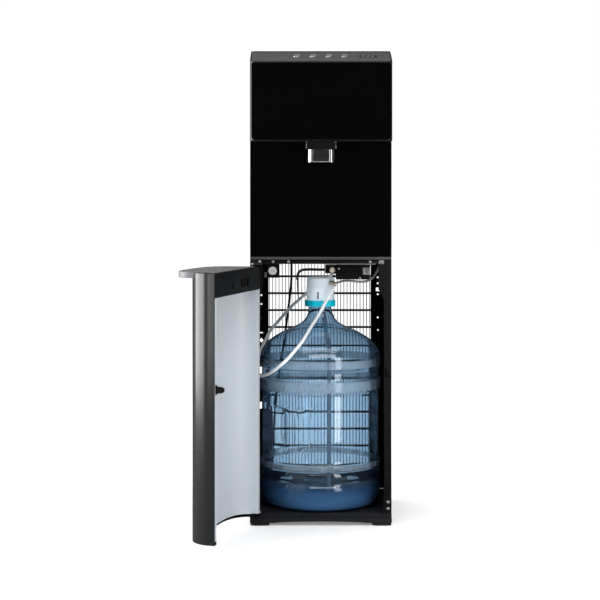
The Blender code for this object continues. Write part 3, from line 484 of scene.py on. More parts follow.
def piece(name, bm, look, node=None, to=None, soft=0.0, segments=2, angle=35, within=(), cuts=(), adds=(),
          body="cabinet"):
    """A finished piece: cut, joined, with softened edges, in place on its body, which is its node's."""
    body = NODES[node]["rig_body"] if node else body
    mesh = mesh_of(name, bm)
    mesh.materials.append(finish(look))
    obj = placed(name, mesh)
    for operation, shapes in (("INTERSECT", within), ("DIFFERENCE", cuts), ("UNION", adds)):
        for shape in shapes:
            boolean(obj, shape, operation)
    if soft:
        modifier = obj.modifiers.new("soft_edges", "BEVEL")
        modifier.width = soft
        modifier.segments = segments
        modifier.limit_method = "ANGLE"
        modifier.angle_limit = math.radians(angle)
        modifier.harden_normals = False
    settle(obj, to or (TO_DOOR if body in DOOR_BODIES else TO_WORLD), angle)
    own(obj, node, body)


def boolean(obj, bm, operation):
    """Cuts a shape from an object, adds it, or keeps only what they share."""
    mesh = mesh_of("tool", bm)
    tool = placed("tool", mesh)
    modifier = obj.modifiers.new("tool", "BOOLEAN")
    modifier.operation = operation
    modifier.object = tool
    bake_modifiers(obj)
    bpy.data.objects.remove(tool)
    bpy.data.meshes.remove(mesh)


def bake_modifiers(obj):
    """Gives an object the mesh that its modifiers make of it."""
    graph = bpy.context.evaluated_depsgraph_get()
    mesh = bpy.data.meshes.new_from_object(obj.evaluated_get(graph))
    obj.modifiers.clear()
    old, obj.data = obj.data, mesh
    name = old.name
    bpy.data.meshes.remove(old)
    mesh.name = name


def settle(obj, to, angle):
    """Applies the modifiers, moves the mesh into the row frame and keeps its large faces flat."""
    softened = bool(obj.modifiers)
    if softened:
        bake_modifiers(obj)
    obj.data.transform(to)
    obj.data.shade_smooth()
    obj.data.set_sharp_from_angle(angle=math.radians(angle))
    if softened:
        modifier = obj.modifiers.new("flat_faces", "WEIGHTED_NORMAL")
        modifier.keep_sharp = True
        bake_modifiers(obj)


def refined(node, look, soft=0.0006, segments=2, angle=40):
    """A CAD node's own shape with clean flat faces and softened edges."""
    bm = bmesh.new()
    bm.from_mesh(NODES[node].data)
    bmesh.ops.remove_doubles(bm, verts=bm.verts, dist=0.00001)
    bmesh.ops.dissolve_limit(bm, angle_limit=math.radians(0.5), verts=bm.verts, edges=bm.edges)
    piece(f"{node}_skin", bm, look, node, Matrix.Identity(4), soft, segments, angle)


def smooth_path(route, step):
    """Points a set distance apart on a smooth curve through the route."""
    route = [Vector(p) for p in route]
    ends = [2 * route[0] - route[1], *route, 2 * route[-1] - route[-2]]
    fine = []
    for a, b, c, d in zip(ends, ends[1:], ends[2:], ends[3:]):
        for k in range(12):
            t = k / 12
            square, cube = 2 * a - 5 * b + 4 * c - d, 3 * b - a - 3 * c + d
            fine.append(0.5 * (2 * b + (c - a) * t + square * t**2 + cube * t**3))
    fine.append(route[-1])
    total = sum((b - a).length for a, b in zip(fine, fine[1:]))
    count = max(2, round(total / step))
    points = [fine[0]]
    walked = 0.0
    for a, b in zip(fine, fine[1:]):
        span = (b - a).length
        while len(points) < count and walked + span >= len(points) * total / count:
            points.append(a.lerp(b, (len(points) * total / count - walked) / span))
        walked += span
    points.append(fine[-1])
    return points


def tube(name, points, radius, look, node=None, resolution=4):
    """A round tube or cable on the cabinet, through the points."""
    curve = bpy.data.curves.new(name, "CURVE")
    curve.dimensions = "3D"
    curve.bevel_depth = radius
    curve.bevel_resolution = resolution
    curve.use_fill_caps = True
    spline = curve.splines.new("POLY")
    spline.points.add(len(points) - 1)
    for point, place in zip(spline.points, points):
        point.co = (*(TO_WORLD @ Vector(place)), 1)
    spline.use_smooth = True
    curve.materials.append(finish(look))
    obj = placed(name, curve)
    own(obj, node, "cabinet")
    return obj


# Hoses and cables ----------------------------------------

SUPPLY_ROUTE = [
    (0.0312, 0.0917, 0.516), (0.027, 0.0885, 0.508), (0.018, 0.086, 0.492), (0.010, 0.085, 0.479),
    (-0.0055, 0.080, 0.4505), (-0.021, 0.056, 0.429), (-0.0385, 0.023, 0.402), (-0.057, 0.008, 0.380),
    (-0.075, 0.006, 0.360), (-0.095, 0.018, 0.342), (-0.1135, 0.040, 0.327), (-0.131, 0.072, 0.318),
    (-0.144, 0.112, 0.316), (-0.1455, 0.150, 0.323), (-0.143, 0.185, 0.337), (-0.1375, 0.215, 0.360),
    (-0.1265, 0.238, 0.383), (-0.114, 0.248, 0.405), (-0.093, 0.250, 0.430), (-0.070, 0.250, 0.456),
    (-0.0485, 0.245, 0.476), (-0.025, 0.238, 0.496), (0.005, 0.222, 0.518), (0.030, 0.185, 0.540),
    (0.044, 0.140, 0.553), (0.048, 0.115, 0.555), (0.048, 0.0956, 0.555),
]
VENT_ROUTE = [
    (0.0375, 0.118, 0.523), (0.042, 0.106, 0.525), (0.052, 0.085, 0.529), (0.068, 0.068, 0.530),
    (0.085, 0.060, 0.5288), (0.100, 0.060, 0.5294), (0.114, 0.060, 0.5355), (0.1235, 0.061, 0.548),
    (0.130, 0.063, 0.563), (0.133, 0.064, 0.5802),
]
HARNESS_ROUTE = [
    (-0.0665, 0.290, 0.5806), (-0.0665, 0.290, 0.550), (-0.0668, 0.290, 0.520), (-0.0715, 0.2905, 0.472),
    (-0.075, 0.2905, 0.446), (-0.079, 0.291, 0.413), (-0.0866, 0.291, 0.365), (-0.0965, 0.291, 0.305),
    (-0.1056, 0.291, 0.247), (-0.1127, 0.2905, 0.165), (-0.115, 0.290, 0.100), (-0.116, 0.288, 0.055),
    (-0.116, 0.286, 0.0253),
]
CONDUIT_ROUTE = [
    (0.0099, 0.060, 0.5556), (-0.005, 0.060, 0.5556), (-0.025, 0.060, 0.556), (-0.040, 0.060, 0.555),
    (-0.048, 0.060, 0.550), (-0.051, 0.061, 0.542), (-0.0515, 0.0625, 0.533),
]
LEAD_ROUTE = [
    (-0.0515, 0.0625, 0.5332), (-0.0514, 0.0642, 0.5275), (-0.0512, 0.069, 0.5215),
    (-0.051, 0.079, 0.515), (-0.0508, 0.098, 0.506), (-0.0505, 0.130, 0.496), (-0.050, 0.165, 0.488),
    (-0.0495, 0.200, 0.482), (-0.049, 0.228, 0.479), (-0.0487, 0.2425, 0.4782),
]
SUPPLY_R, VENT_R, HARNESS_R, CONDUIT_R, LEAD_R = 0.0035, 0.0026, 0.0028, 0.0030, 0.0013


def free_cord(name, route, radius, look, node):
    """A hose or cable that hangs between two fixed ends, drawn as a tube along its route."""
    points = smooth_path(route, radius * 2.2)
    obj = tube(name, points, radius, look, node)


def cords():
    free_cord("supply_hose_white", SUPPLY_ROUTE, SUPPLY_R, "hose_white", "supply_hose")
    free_cord("vent_hose_grey", VENT_ROUTE, VENT_R, "hose_grey", "vent_hose")
    free_cord("harness_cable_black", HARNESS_ROUTE, HARNESS_R, "rubber_black", "harness_cable")
    free_cord("pump_lead_black", LEAD_ROUTE, LEAD_R, "rubber_black", None)
    tube("pump_conduit_black", smooth_path(CONDUIT_ROUTE, 0.004), CONDUIT_R, "rubber_black", "pump_conduit")


# Cabinet ----------------------------------------

HALF_W = 0.155
DEPTH = 0.300
SHEET = 0.0012
GAP = 0.0003
BASE_TOP = box_of("base_tray")[1].z
BAY_TOP = 0.571
CEILING = box_of("bay_ceiling")[0].z
CABINET_TOP = box_of("side_panel_left")[1].z
REAR_HOLE_X = 0.138
FLANGE_SCREW_X, FLANGE_SCREWS = 0.1472, (0.0345, 0.049)
SPLASH_LOW, SPLASH_TOP = 0.5868, 0.838


def facing_back(x, y, z):
    """The place of a shape turned about Z, when its top faces the back of the machine."""
    return TO_WORLD @ Matrix.Translation((x, y, z)) @ Matrix.Rotation(math.radians(-90), 4, "X")


def mirrored_x(outline):
    """An outline on the other side of the cabinet, in the order that keeps it going round the same way."""
    return [(-x, y) for x, y in reversed(outline)]


def screw(name, at, facing, radius, look="zinc", body="cabinet", to=TO_WORLD):
    """A pan-head screw with a cross recess, its head standing off a face."""
    at, facing = Vector(at), Vector(facing).normalized()
    head = turned([(0, 0), (radius, 0), (radius, 0.0007), (radius * 0.8, 0.0016), (radius * 0.4, 0.0021),
                   (0, 0.0022)], segments=40)
    turn = Matrix.Translation(at) @ facing.to_track_quat("Z", "Y").to_matrix().to_4x4()
    arm, width = radius * 0.55, radius * 0.11
    cuts = [box((-arm, -width, 0.0010), (arm, width, 0.004)),
            box((-width, -arm, 0.0010), (width, arm, 0.004))]
    piece(name, head, look, None, to @ turn, cuts=cuts, angle=30, body=body)


def base_tray():
    side = [(-0.010, 0.006), (-0.010, 0.016), (0, 0.016), (0, BASE_TOP), (DEPTH - 0.002, BASE_TOP)]
    side += [(DEPTH - 0.002, 0.006)]
    foot_w, foot_d = 0.042, 0.050
    feet = []
    for x in (-HALF_W + 0.0005, HALF_W - 0.0005 - foot_w):
        for y in (-0.0095, DEPTH - 0.003 - foot_d):
            feet.append(prism(rounded(x, x + foot_w, y, y + foot_d, 0.010), 0, 0.010))
    arch = [(-0.100, 0.0), (0.100, 0.0)]
    arch += [(0.100 * math.cos(math.pi * k / 24),
              0.0058 + 0.0032 * math.sin(math.pi * k / 24)) for k in range(25)]
    cuts = [
        box((-HALF_W + 0.048, 0.006, 0.002), (HALF_W - 0.048, DEPTH - 0.008, 0.0215)),
        prism(arch, -0.03, 0.0062, "Y"),
        prism(rounded(-0.125, 0.125, 0.010, 0.270, 0.060, 16), BASE_TOP - 0.0012, BASE_TOP + 0.01),
    ]
    piece("base_tray_moulding", prism(side, -HALF_W, HALF_W, "X"), "base_plastic", "base_tray",
          adds=feet, cuts=cuts, soft=0.0011, segments=3)
    for side_x in (-1, 1):
        rail = [(side_x * x, y) for x, y in ((0.150, 0.012), (0.146, 0.012), (0.138, 0.060), (0.150, 0.060))]
        piece(f"bottle_guide_{'left' if side_x < 0 else 'right'}", prism(rail, BASE_TOP, BASE_TOP + 0.030),
              "base_plastic", soft=0.0008)


def side_panels():
    """Folded sheet sides with rounded folds, front flanges and punched rear flanges."""
    bend = 0.0028
    x = HALF_W
    front, rear = 0.0166, 0.034

    def fold(cx, cy, radius, start, reverse=False):
        steps = [math.radians(start + 90 * k / 6) for k in range(7)]
        arc = [(cx + radius * math.cos(t), cy + radius * math.sin(t)) for t in steps]
        return list(reversed(arc)) if reverse else arc

    outline = [(-x + front, 0), (-x + front, SHEET)]
    outline += fold(-x + bend, bend, bend - SHEET, 180, True)
    outline += fold(-x + bend, DEPTH - bend, bend - SHEET, 90, True)
    outline += [(-x + rear, DEPTH - SHEET), (-x + rear, DEPTH)]
    outline += fold(-x + bend, DEPTH - bend, bend, 90)
    outline += fold(-x + bend, bend, bend, 180)
    low = BASE_TOP + GAP
    span, front_span = (DEPTH - 0.004, DEPTH + 0.003), (-0.003, 0.004)

    def hole(x, z, depth=span):
        return rod((x, depth[0], z), (x, depth[1], z), 0.0022, 24)

    def window(x, z, half_w, half_h, depth=span):
        return prism(rounded(x - half_w, x + half_w, z - half_h, z + half_h, 0.0008, 4), *depth, "Y")

    left = [window(-REAR_HOLE_X, 0.305, 0.004, 0.008), window(-REAR_HOLE_X, 0.222, 0.004, 0.008)]
    diamond = ((0, -0.0055), (0.005, 0), (0, 0.0055), (-0.005, 0))
    left.append(prism([(-REAR_HOLE_X + a, 0.376 + b) for a, b in diamond], *span, "Y"))
    left += [window(-REAR_HOLE_X, 0.394, 0.004, 0.0013)]
    left += [hole(-REAR_HOLE_X, z) for z in (0.483, 0.462, 0.430)]
    right = [window(REAR_HOLE_X, 0.4965, 0.0045, 0.0045)]
    right += [hole(REAR_HOLE_X, z) for z in (0.525, 0.511, 0.485, 0.430, 0.400)]
    right += [hole(FLANGE_SCREW_X, z, front_span) for z in FLANGE_SCREWS]
    right.append(window(0.1465, 0.333, 0.0055, 0.011, front_span))
    for side, shape, cuts in (("left", outline, left), ("right", mirrored_x(outline), right)):
        piece(f"side_sheet_{side}", prism(shape, low, CABINET_TOP, "Z"), "coated_black",
              f"side_panel_{side}", cuts=cuts, angle=30)
    for z in FLANGE_SCREWS:
        screw(f"flange_screw_{round(z * 1000)}", (FLANGE_SCREW_X, 0.0007, z), (0, -1, 0), 0.0040)


def front_frame():
    """Cross rail with gussets, ceiling plate, its screws and small brackets."""
    top = CEILING - 0.0005
    half = HALF_W - SHEET - GAP
    y = SHEET + GAP
    outline = [(half, top), (half, 0.492), (0.139, 0.492), (0.1263, 0.516), (0.1263, BAY_TOP)]
    shelf = box((-half, y, top - 0.0015), (half, 0.030, top))
    fold_back = box((-0.126, 0.0285, BAY_TOP + 0.001), (0.126, 0.030, top))
    piece("front_rail_sheet", prism(outline + mirrored_x(outline), y, y + 0.0015, "Y"), "coated_black",
          "front_rail", adds=[shelf, fold_back], soft=0.0004)
    low_y = DEPTH - SHEET - GAP
    holes = [prism(rounded(x - 0.014, x + 0.014, 0.046, 0.052, 0.0029, 8), low_y - 0.003, low_y + 0.002, "Y")
             for x in (-0.08, 0.08)]
    piece("rear_cross_sheet", box((-half, low_y - SHEET, BASE_TOP + GAP), (half, low_y, 0.0820)),
          "coated_black", "rear_cross_plate", cuts=holes, soft=0.0003)
    refined("bay_ceiling", "ceiling_steel", 0.0003)
    for k, x in enumerate((-0.1045, -0.0705, 0.1080, 0.1330)):
        screw(f"rail_screw_{k + 1}", (x, y, 0.5757), (0, -1, 0), 0.0032)
    piece("rail_bright_edge", box((0.010, 0.0004, 0.5700), (0.120, 0.0014, 0.5716)), "zinc", soft=0.0003)
    piece("latch_bracket", box((0.1265, 0.0002, 0.5712), (0.1535, 0.0013, 0.5798)), "zinc", soft=0.0004,
          cuts=[rod((0.1440, -0.002, 0.5755), (0.1440, 0.004, 0.5755), 0.0016)])
    piece("switch_side_bracket", box((-0.1235, 0.0065, 0.5410), (-0.1195, 0.0240, 0.5520)), "zinc",
          soft=0.0004)
    gusset = [(-0.088, 0.5805), (-0.080, 0.5805), (-0.088, 0.5660)]
    piece("ceiling_gusset", prism(gusset, 0.030, 0.0315, "Y"), "satin_grey", soft=0.0003)
    refined("splash_trim", "trim_grey", 0.0012, 3)
    face = prism(rounded(-0.1548, 0.1548, SPLASH_LOW, SPLASH_TOP, 0.003), -0.0045, -GAP, "Y")
    piece("splash_panel_gloss", face, "gloss_black", "splash_panel", soft=0.0009, segments=4)


REAR_Y = DEPTH + GAP


def rear_panel():
    """Rear cover with pressed louvres, its screws and the openings for drain, switches and cord."""
    cover = box((-0.150, REAR_Y, SPLASH_LOW), (0.150, REAR_Y + SHEET, CABINET_TOP - 0.001))
    inside, outside = REAR_Y - 0.004, REAR_Y + 0.005
    cuts = []
    hoods = []
    for k in range(7):
        z = 0.665 + 0.014 * k
        cuts.append(prism(rounded(-0.050, 0.050, z, z + 0.005, 0.002), inside, outside, "Y"))
        hood = [(REAR_Y + SHEET, z + 0.0075), (REAR_Y + 0.0042, z + 0.0030), (REAR_Y + 0.0036, z + 0.0022)]
        hood += [(REAR_Y + SHEET, z + 0.0056)]
        hoods.append(prism(hood, -0.051, 0.051, "X"))
    for name in ("rocker_switch_cold", "rocker_switch_hot"):
        x, z = middle_of(name)
        cuts.append(box((x - 0.0075, inside, z - 0.0115), (x + 0.0075, outside, z + 0.0115)))
    for name, radius in (("drain_cap", 0.0090), ("cord_gland", 0.0062)):
        x, z = middle_of(name)
        cuts.append(rod((x, inside, z), (x, outside, z), radius, 40))
    piece("rear_cover", cover, "coated_black", "rear_panel", cuts=cuts, soft=0.0003)
    piece("rear_louvres", joined(*hoods), "coated_black", soft=0.0003)
    for k, (x, z) in enumerate(((-0.142, 0.600), (0.142, 0.600), (-0.142, 0.790), (0.142, 0.790),
                                (-0.142, 0.972), (0.142, 0.972))):
        screw(f"rear_screw_{k + 1}", (x, REAR_Y + SHEET, z), (0, 1, 0), 0.0038)


# Head ----------------------------------------

HEAD_HALF = 0.1525
HEAD_REACH = 0.0925
PANEL_LOW = 1.0085
RIDGE = box_of("top_cover")[1].z
PANEL_SLOPE = math.atan2(RIDGE - PANEL_LOW, HEAD_REACH)
PANEL_FRONT = (-HEAD_REACH + 0.003, PANEL_LOW)
BUTTON_ALONG = 0.047


def on_panel(along, off=0.0):
    """Y and Z of a point up the sloping control panel and off its face."""
    return (PANEL_FRONT[0] + along * math.cos(PANEL_SLOPE) - off * math.sin(PANEL_SLOPE),
            PANEL_FRONT[1] + along * math.sin(PANEL_SLOPE) + off * math.cos(PANEL_SLOPE))


def sloped_box(x0, x1, a0, a1, low, high):
    return prism([on_panel(a0, low), on_panel(a1, low), on_panel(a1, high), on_panel(a0, high)], x0, x1, "X")


def visor():
    """The head's housing, its gloss front and the top cover behind it."""
    half, radius, wall = HEAD_HALF, 0.012, 0.003
    low = 0.8385
    plan = rounded(-half, half, -HEAD_REACH + 0.003, 0.10, radius, 16)
    top_y, top_z = on_panel(0.0975)
    low_y, low_z = on_panel(-0.02)
    hollow = rounded(-half + wall, half - wall, -HEAD_REACH + 0.003 + wall, 0.12, radius - wall, 16)
    cuts = [prism([(low_y, low_z), (top_y, top_z), (top_y, 1.2), (low_y, 1.2)], -0.2, 0.2, "X"),
            box((-0.2, -0.0003, 0.8), (0.2, 0.2, 1.2)), prism(hollow, low + 0.003, 1.2)]
    piece("visor_housing", prism(plan, low, RIDGE + 0.01), "satin_grey", "visor_shell", cuts=cuts,
          soft=0.0008, segments=3)
    face = prism(rounded(-0.1495, 0.1495, 0.8405, 1.007, 0.008, 20), -HEAD_REACH, -HEAD_REACH + 0.0027, "Y")
    piece("visor_front_gloss", face, "gloss_black", "visor_front", soft=0.0010, segments=4)
    lid = prism(rounded(-half, half, GAP, DEPTH + 0.0015, 0.010, 14), CABINET_TOP + GAP, RIDGE)
    cuts = [
        prism(rounded(-half + wall, half - wall, 0.0035, DEPTH - wall, 0.008), 0.90, RIDGE - wall),
        box((-0.140, -0.01, 0.90), (0.140, 0.02, RIDGE - 0.006)),
        prism(rounded(-0.136, 0.136, 0.022, 0.282, 0.018, 12), RIDGE - 0.0007, RIDGE + 0.01),
    ]
    piece("top_cover_moulding", lid, "satin_grey", "top_cover", cuts=cuts, soft=0.0010, segments=3)


def controls():
    """The sloping panel with its keys and display."""
    half = HEAD_HALF - 0.003 - GAP
    plan = rounded(-half, half, -HEAD_REACH + 0.006 + GAP, 0.05, 0.009, 14)
    slab = sloped_box(-0.2, 0.2, -0.02, 0.0875, -0.003, 0)
    window = box_of("display_window")
    x0, x1 = window[0].x, window[1].x
    holes = [sloped_box(x0 - GAP, x1 + GAP, 0.0357, 0.0563, -0.01, 0.01)]
    buttons = []
    for k in range(4):
        x = middle_of(f"button_{k + 1}")[0]
        buttons.append(x)
        holes.append(rod((x, *on_panel(BUTTON_ALONG, -0.02)), (x, *on_panel(BUTTON_ALONG, 0.02)), 0.0093,
                         64))
    piece("control_panel_face", prism(plan, 0.98, 1.06), "panel_grey", "control_panel", soft=0.0004,
          within=[slab], cuts=holes)
    slope = Matrix.Rotation(PANEL_SLOPE, 4, "X")
    for k, x in enumerate(buttons):
        place = TO_WORLD @ Matrix.Translation((x, *on_panel(BUTTON_ALONG))) @ slope
        profile = [(0, -0.0075), (0.004, -0.0075), (0.004, -0.004), (0.0088, -0.004), (0.0088, 0.0008)]
        profile += [(0.0086, 0.0013), (0.0081, 0.0017), (0.0074, 0.0018), (0.0070, 0.0015), (0.0035, 0.0012)]
        profile += [(0, 0.0011)]
        piece(f"button_{k + 1}_cap", turned(profile, segments=72), "button_metal",
              f"button_{k + 1}", place, angle=30)
    piece("display_window_glass", sloped_box(x0, x1, 0.036, 0.056, -0.0025, 0.0002), "gloss_black",
          "display_window", soft=0.0002)
    for k in range(3):
        x = x0 + 0.005 + 0.010 * k
        piece(f"indicator_{k + 1}", sloped_box(x, x + 0.0065, 0.0415, 0.0505, -0.0004, 0.00045),
              "indicator_pale", soft=0.0001)


NOZZLE_Y = -0.062


def nozzle():
    """The block under the head, its chrome shroud and the two outlets."""
    y0, y1 = NOZZLE_Y - 0.022, NOZZLE_Y + 0.026
    mount_low, top = 0.8203, 0.8382
    holes = [rod((x, NOZZLE_Y, 0.80), (x, NOZZLE_Y, 0.85), 0.0048, 32) for x in (0.013, -0.013)]
    piece("nozzle_mount_block", prism(rounded(-0.033, 0.033, y0, y1, 0.006, 12), mount_low, top),
          "moulded_black", "nozzle_mount", cuts=holes, soft=0.0010, segments=3)
    for side in (-1, 1):
        xs = sorted((side * 0.0318, side * 0.0302))
        piece(f"nozzle_edge_strip_{'left' if side < 0 else 'right'}",
              box((xs[0], y0 - 0.0004, mount_low + 0.0015), (xs[1], y0 + 0.004, top - 0.0012)), "chrome",
              soft=0.0003)
    low = 0.7928
    ring = prism(rounded(-0.028, 0.028, y0 + 0.001, y1 - 0.002, 0.009, 16), low, mount_low - GAP)
    cuts = [prism(rounded(-0.0255, 0.0255, y0 + 0.0035, y1 - 0.0045, 0.0065, 16), low - 0.002, 0.83),
            box((-0.0175, y0 - 0.01, low + 0.0012), (0.0175, y0 + 0.008, 0.83))]
    piece("nozzle_shroud_chrome", ring, "chrome", "nozzle_shroud", cuts=cuts, soft=0.0006, segments=3)
    insert = box((-0.0171, y0 + 0.0012, low + 0.0016), (0.0171, y0 + 0.0032, mount_low - 0.0005))
    grooves = [box((-0.0172, y0, z), (0.0172, y0 + 0.0016, z + 0.0006)) for z in (0.8005, 0.8135)]
    piece("nozzle_insert_plate", insert, "satin_grey", "nozzle_insert", cuts=grooves, soft=0.0003)
    for name, x in (("outlet_cold", 0.013), ("outlet_hot", -0.013)):
        wall = [(0.0028, 0.7985), (0.0044, 0.7985), (0.0044, 0.836), (0.0028, 0.836)]
        piece(f"{name}_pipe", turned(wall, (x, NOZZLE_Y), 48), "white_plastic", name, soft=0.0003)


# Door ----------------------------------------

DOOR_HALF = 0.154
DOOR_INNER = -0.002
DOOR_LOW, DOOR_TOP = 0.0213, 0.5665
LINER_LOW, LINER_TOP = 0.0292, 0.5167
DOOR_SKIN = 0.0014
PIN_BORE_R = 0.0029
TRAY_HALF, TRAY_DEPTH = 0.127, 0.109
TRAY_LOW, TRAY_TOP = 0.5552, 0.5676


def door_curve(inset, count=150):
    """The door's plan line from hinge side to free side, moved inwards along its normals."""
    power, edge, bulge = 4.2, 0.012, 0.0606
    fine = [(-DOOR_HALF, DOOR_INNER)]
    for k in range(1601):
        t = math.pi * k / 1600
        x = -math.copysign(abs(math.cos(t)) ** (2 / power), math.cos(t)) * DOOR_HALF
        fine.append((x, -edge - bulge * math.sin(t)))
    fine.append((DOOR_HALF, DOOR_INNER))
    lengths = [0.0]
    for a, b in zip(fine, fine[1:]):
        lengths.append(lengths[-1] + math.dist(a, b))
    points = []
    index = 0
    for k in range(count + 1):
        want = lengths[-1] * k / count
        while index < len(fine) - 2 and lengths[index + 1] < want:
            index += 1
        t = (want - lengths[index]) / ((lengths[index + 1] - lengths[index]) or 1.0)
        a, b = fine[index], fine[index + 1]
        points.append((a[0] + (b[0] - a[0]) * t, a[1] + (b[1] - a[1]) * t))
    moved = []
    for k, (x, y) in enumerate(points):
        a, b = points[max(k - 1, 0)], points[min(k + 1, count)]
        if k in (0, count):
            normal = (1.0, 0.0) if k == 0 else (-1.0, 0.0)
        else:
            dx, dy = b[0] - a[0], b[1] - a[1]
            normal = (-dy / math.hypot(dx, dy), dx / math.hypot(dx, dy))
        moved.append((x + normal[0] * inset, y + normal[1] * inset))
    return moved


def door_band(outer, inner):
    return door_curve(outer) + list(reversed(door_curve(inner)))


def tray_outline(inset=0.0, steps=96):
    half, depth, back = TRAY_HALF - inset, TRAY_DEPTH - inset, 0.006 + inset
    outline = [(half, -back)]
    for k in range(steps + 1):
        t = math.pi * k / steps
        across = math.copysign(abs(math.cos(t)) ** 0.62, math.cos(t))
        outline.append((half * across, -0.058 - (depth - 0.058) * math.sin(t) ** 0.80))
    outline.append((-half, -back))
    return outline


def door():
    """Curved steel skin, pale liner, the block that holds the tray, the bottom rim and the catch."""
    notch = TRAY_HALF + 0.0012
    skin = prism(door_band(0, DOOR_SKIN), DOOR_LOW, DOOR_TOP)
    piece("door_skin", skin, "door_steel", "door_outer_panel",
          cuts=[box((-notch, -0.12, TRAY_LOW - 0.0005), (notch, -0.03, 0.6))], soft=0.0005, angle=50)

    liner = prism(door_band(0.0095, 0.0115), LINER_LOW, LINER_TOP)
    lips = []
    for side in (-1, 1):
        xs = sorted((side * (DOOR_HALF - DOOR_SKIN - GAP), side * (DOOR_HALF - 0.0113)))
        lips.append(box((xs[0], DOOR_INNER - 0.0020, LINER_LOW), (xs[1], DOOR_INNER, LINER_TOP)))
    lips.append(liner_floor())
    piece("door_liner_pan", liner, "liner_pale", "door_liner", adds=lips, soft=0.0007, segments=3, angle=40)

    inside = door_curve(DOOR_SKIN + GAP)
    hollow = [(-0.138, -0.007), (0.138, -0.007), (0.138, -0.036), (0.118, -0.055), (-0.118, -0.055),
              (-0.138, -0.036)]
    cuts = [
        prism(tray_outline(-0.0015), TRAY_LOW - 0.0005, 0.6),
        prism(hollow, 0.50, 0.550),
        box((-0.075, -0.02, 0.528), (-0.058, 0.0, 0.546)),
        rod((HINGE.x, HINGE.y, 0.53), (HINGE.x, HINGE.y, 0.58), PIN_BORE_R, 40),
    ]
    cuts += [box((-0.052 + 0.006 * k, -0.0048, 0.5285),
                 (-0.0485 + 0.006 * k, 0.0, 0.5455)) for k in range(6)]
    cuts.append(box((0.030, -0.0035, 0.5300), (0.085, 0.0, 0.5420)))
    piece("tray_support_block", prism(inside, LINER_TOP + GAP, DOOR_TOP), "moulded_black", "tray_support",
          cuts=cuts, soft=0.0005, angle=50)
    for k, x in enumerate((-0.118, 0.112)):
        screw(f"tray_support_screw_{k + 1}", (x, -0.0016, 0.534), (0, 1, 0), 0.0032, "lacquer_black", "door",
              TO_DOOR)

    cap = prism(door_band(DOOR_SKIN + GAP, 0.0125), DOOR_LOW + 0.0004, LINER_LOW - GAP)
    low, high = DOOR_LOW + 0.0004, LINER_LOW - GAP
    boss = turned([(0, low), (0.0042, low), (0.0042, high), (0, high)], (HINGE.x + 0.0006, HINGE.y), 40)
    piece("door_bottom_rim", cap, "moulded_black", "door_bottom_cap", adds=[boss],
          cuts=[rod((HINGE.x, HINGE.y, 0.01), (HINGE.x, HINGE.y, 0.04), PIN_BORE_R, 40)], soft=0.0006, angle=50)
    catch = box((0.1435, -0.0017, 0.3230), (0.1505, -GAP, 0.3430))
    hook = prism([(-0.0010, 0.3255), (0.0120, 0.3270), (0.0160, 0.3300), (0.0160, 0.3365), (0.0120, 0.3390),
                  (-0.0010, 0.3405)], 0.1450, 0.1490, "X")
    slots = [box((0.140, 0.0030 + 0.0040 * k, 0.3262),
                 (0.1456, 0.0050 + 0.0040 * k, 0.3400)) for k in range(3)]
    piece("door_catch_hook", catch, "moulded_black", "door_catch", adds=[hook], cuts=slots, soft=0.0004)


def liner_floor():
    """A soft curved foot along the liner's lower edge."""
    outer, inner = door_curve(0.0100), door_curve(0.0175)
    bm = bmesh.new()
    rows = []
    profile = [(0.0, LINER_LOW), (0.20, LINER_LOW + 0.0195), (0.42, LINER_LOW + 0.0105),
               (0.70, LINER_LOW + 0.0045), (1.0, LINER_LOW + 0.0014), (1.0, LINER_LOW)]
    for share, height in profile:
        rows.append([bm.verts.new((a[0] + (b[0] - a[0]) * share, a[1] + (b[1] - a[1]) * share, height))
                     for a, b in list(zip(outer, inner))[6:-6]])
    for here, after in zip(rows, rows[1:] + rows[:1]):
        for k in range(len(here) - 1):
            bm.faces.new((here[k], here[k + 1], after[k + 1], after[k]))
    bm.faces.new([row[0] for row in rows])
    bm.faces.new([row[-1] for row in reversed(rows)])
    bmesh.ops.recalc_face_normals(bm, faces=bm.faces)
    return bm


def drip_tray():
    """The bowl set into the door's top, and its slotted grid."""
    wall = 0.0022
    bowl = prism(tray_outline(), TRAY_LOW, TRAY_TOP)
    piece("drip_tray_bowl", bowl, "tray_grey", "drip_tray",
          cuts=[prism(tray_outline(wall), TRAY_LOW + wall, 0.6)], soft=0.0008, segments=3, angle=50)
    grid = prism(tray_outline(wall + GAP), TRAY_TOP - 0.0022, TRAY_TOP - 0.0002)
    slots = []
    for row in range(6):
        reach = (0.105, 0.105, 0.102, 0.096, 0.085, 0.062)[row]
        y = -0.019 - 0.0145 * row
        count = max(1, round(reach / 0.022))
        for k in range(2 * count):
            x = -reach + (k + 0.5) * reach / count
            slots.append(prism(rounded(x - 0.0085, x + 0.0085, y - 0.0024, y + 0.0024, 0.0023, 5), 0.55,
                               0.58))
    legs = [rod((x, -0.0474, TRAY_LOW + wall + 0.0005), (x, -0.0474, TRAY_TOP - 0.001),
                0.0025) for x in (-0.06, 0.06)]
    piece("drip_grid_plate", grid, "grid_metal", "drip_grid", cuts=[joined(*slots)], adds=legs,
          soft=0.0003, angle=50)


def hinges():
    refined("upper_hinge_bracket", "lacquer_black", 0.0003)
    refined("lower_hinge_bracket", "lacquer_black", 0.0003)
    screw("upper_hinge_bolt", (-0.1335, -0.0017, 0.5760), (0, -1, 0), 0.0030)
    screw("lower_hinge_bolt", (-0.1335, -0.0016, 0.0280), (0, -1, 0), 0.0026)
    rivet = [(0, 0.5714), (0.0046, 0.5714), (0.0043, 0.5726), (0.0028, 0.5736), (0, 0.5739)]
    piece("hinge_rivet", turned(rivet, (HINGE.x, HINGE.y), 40), "zinc")


# Bottle ----------------------------------------

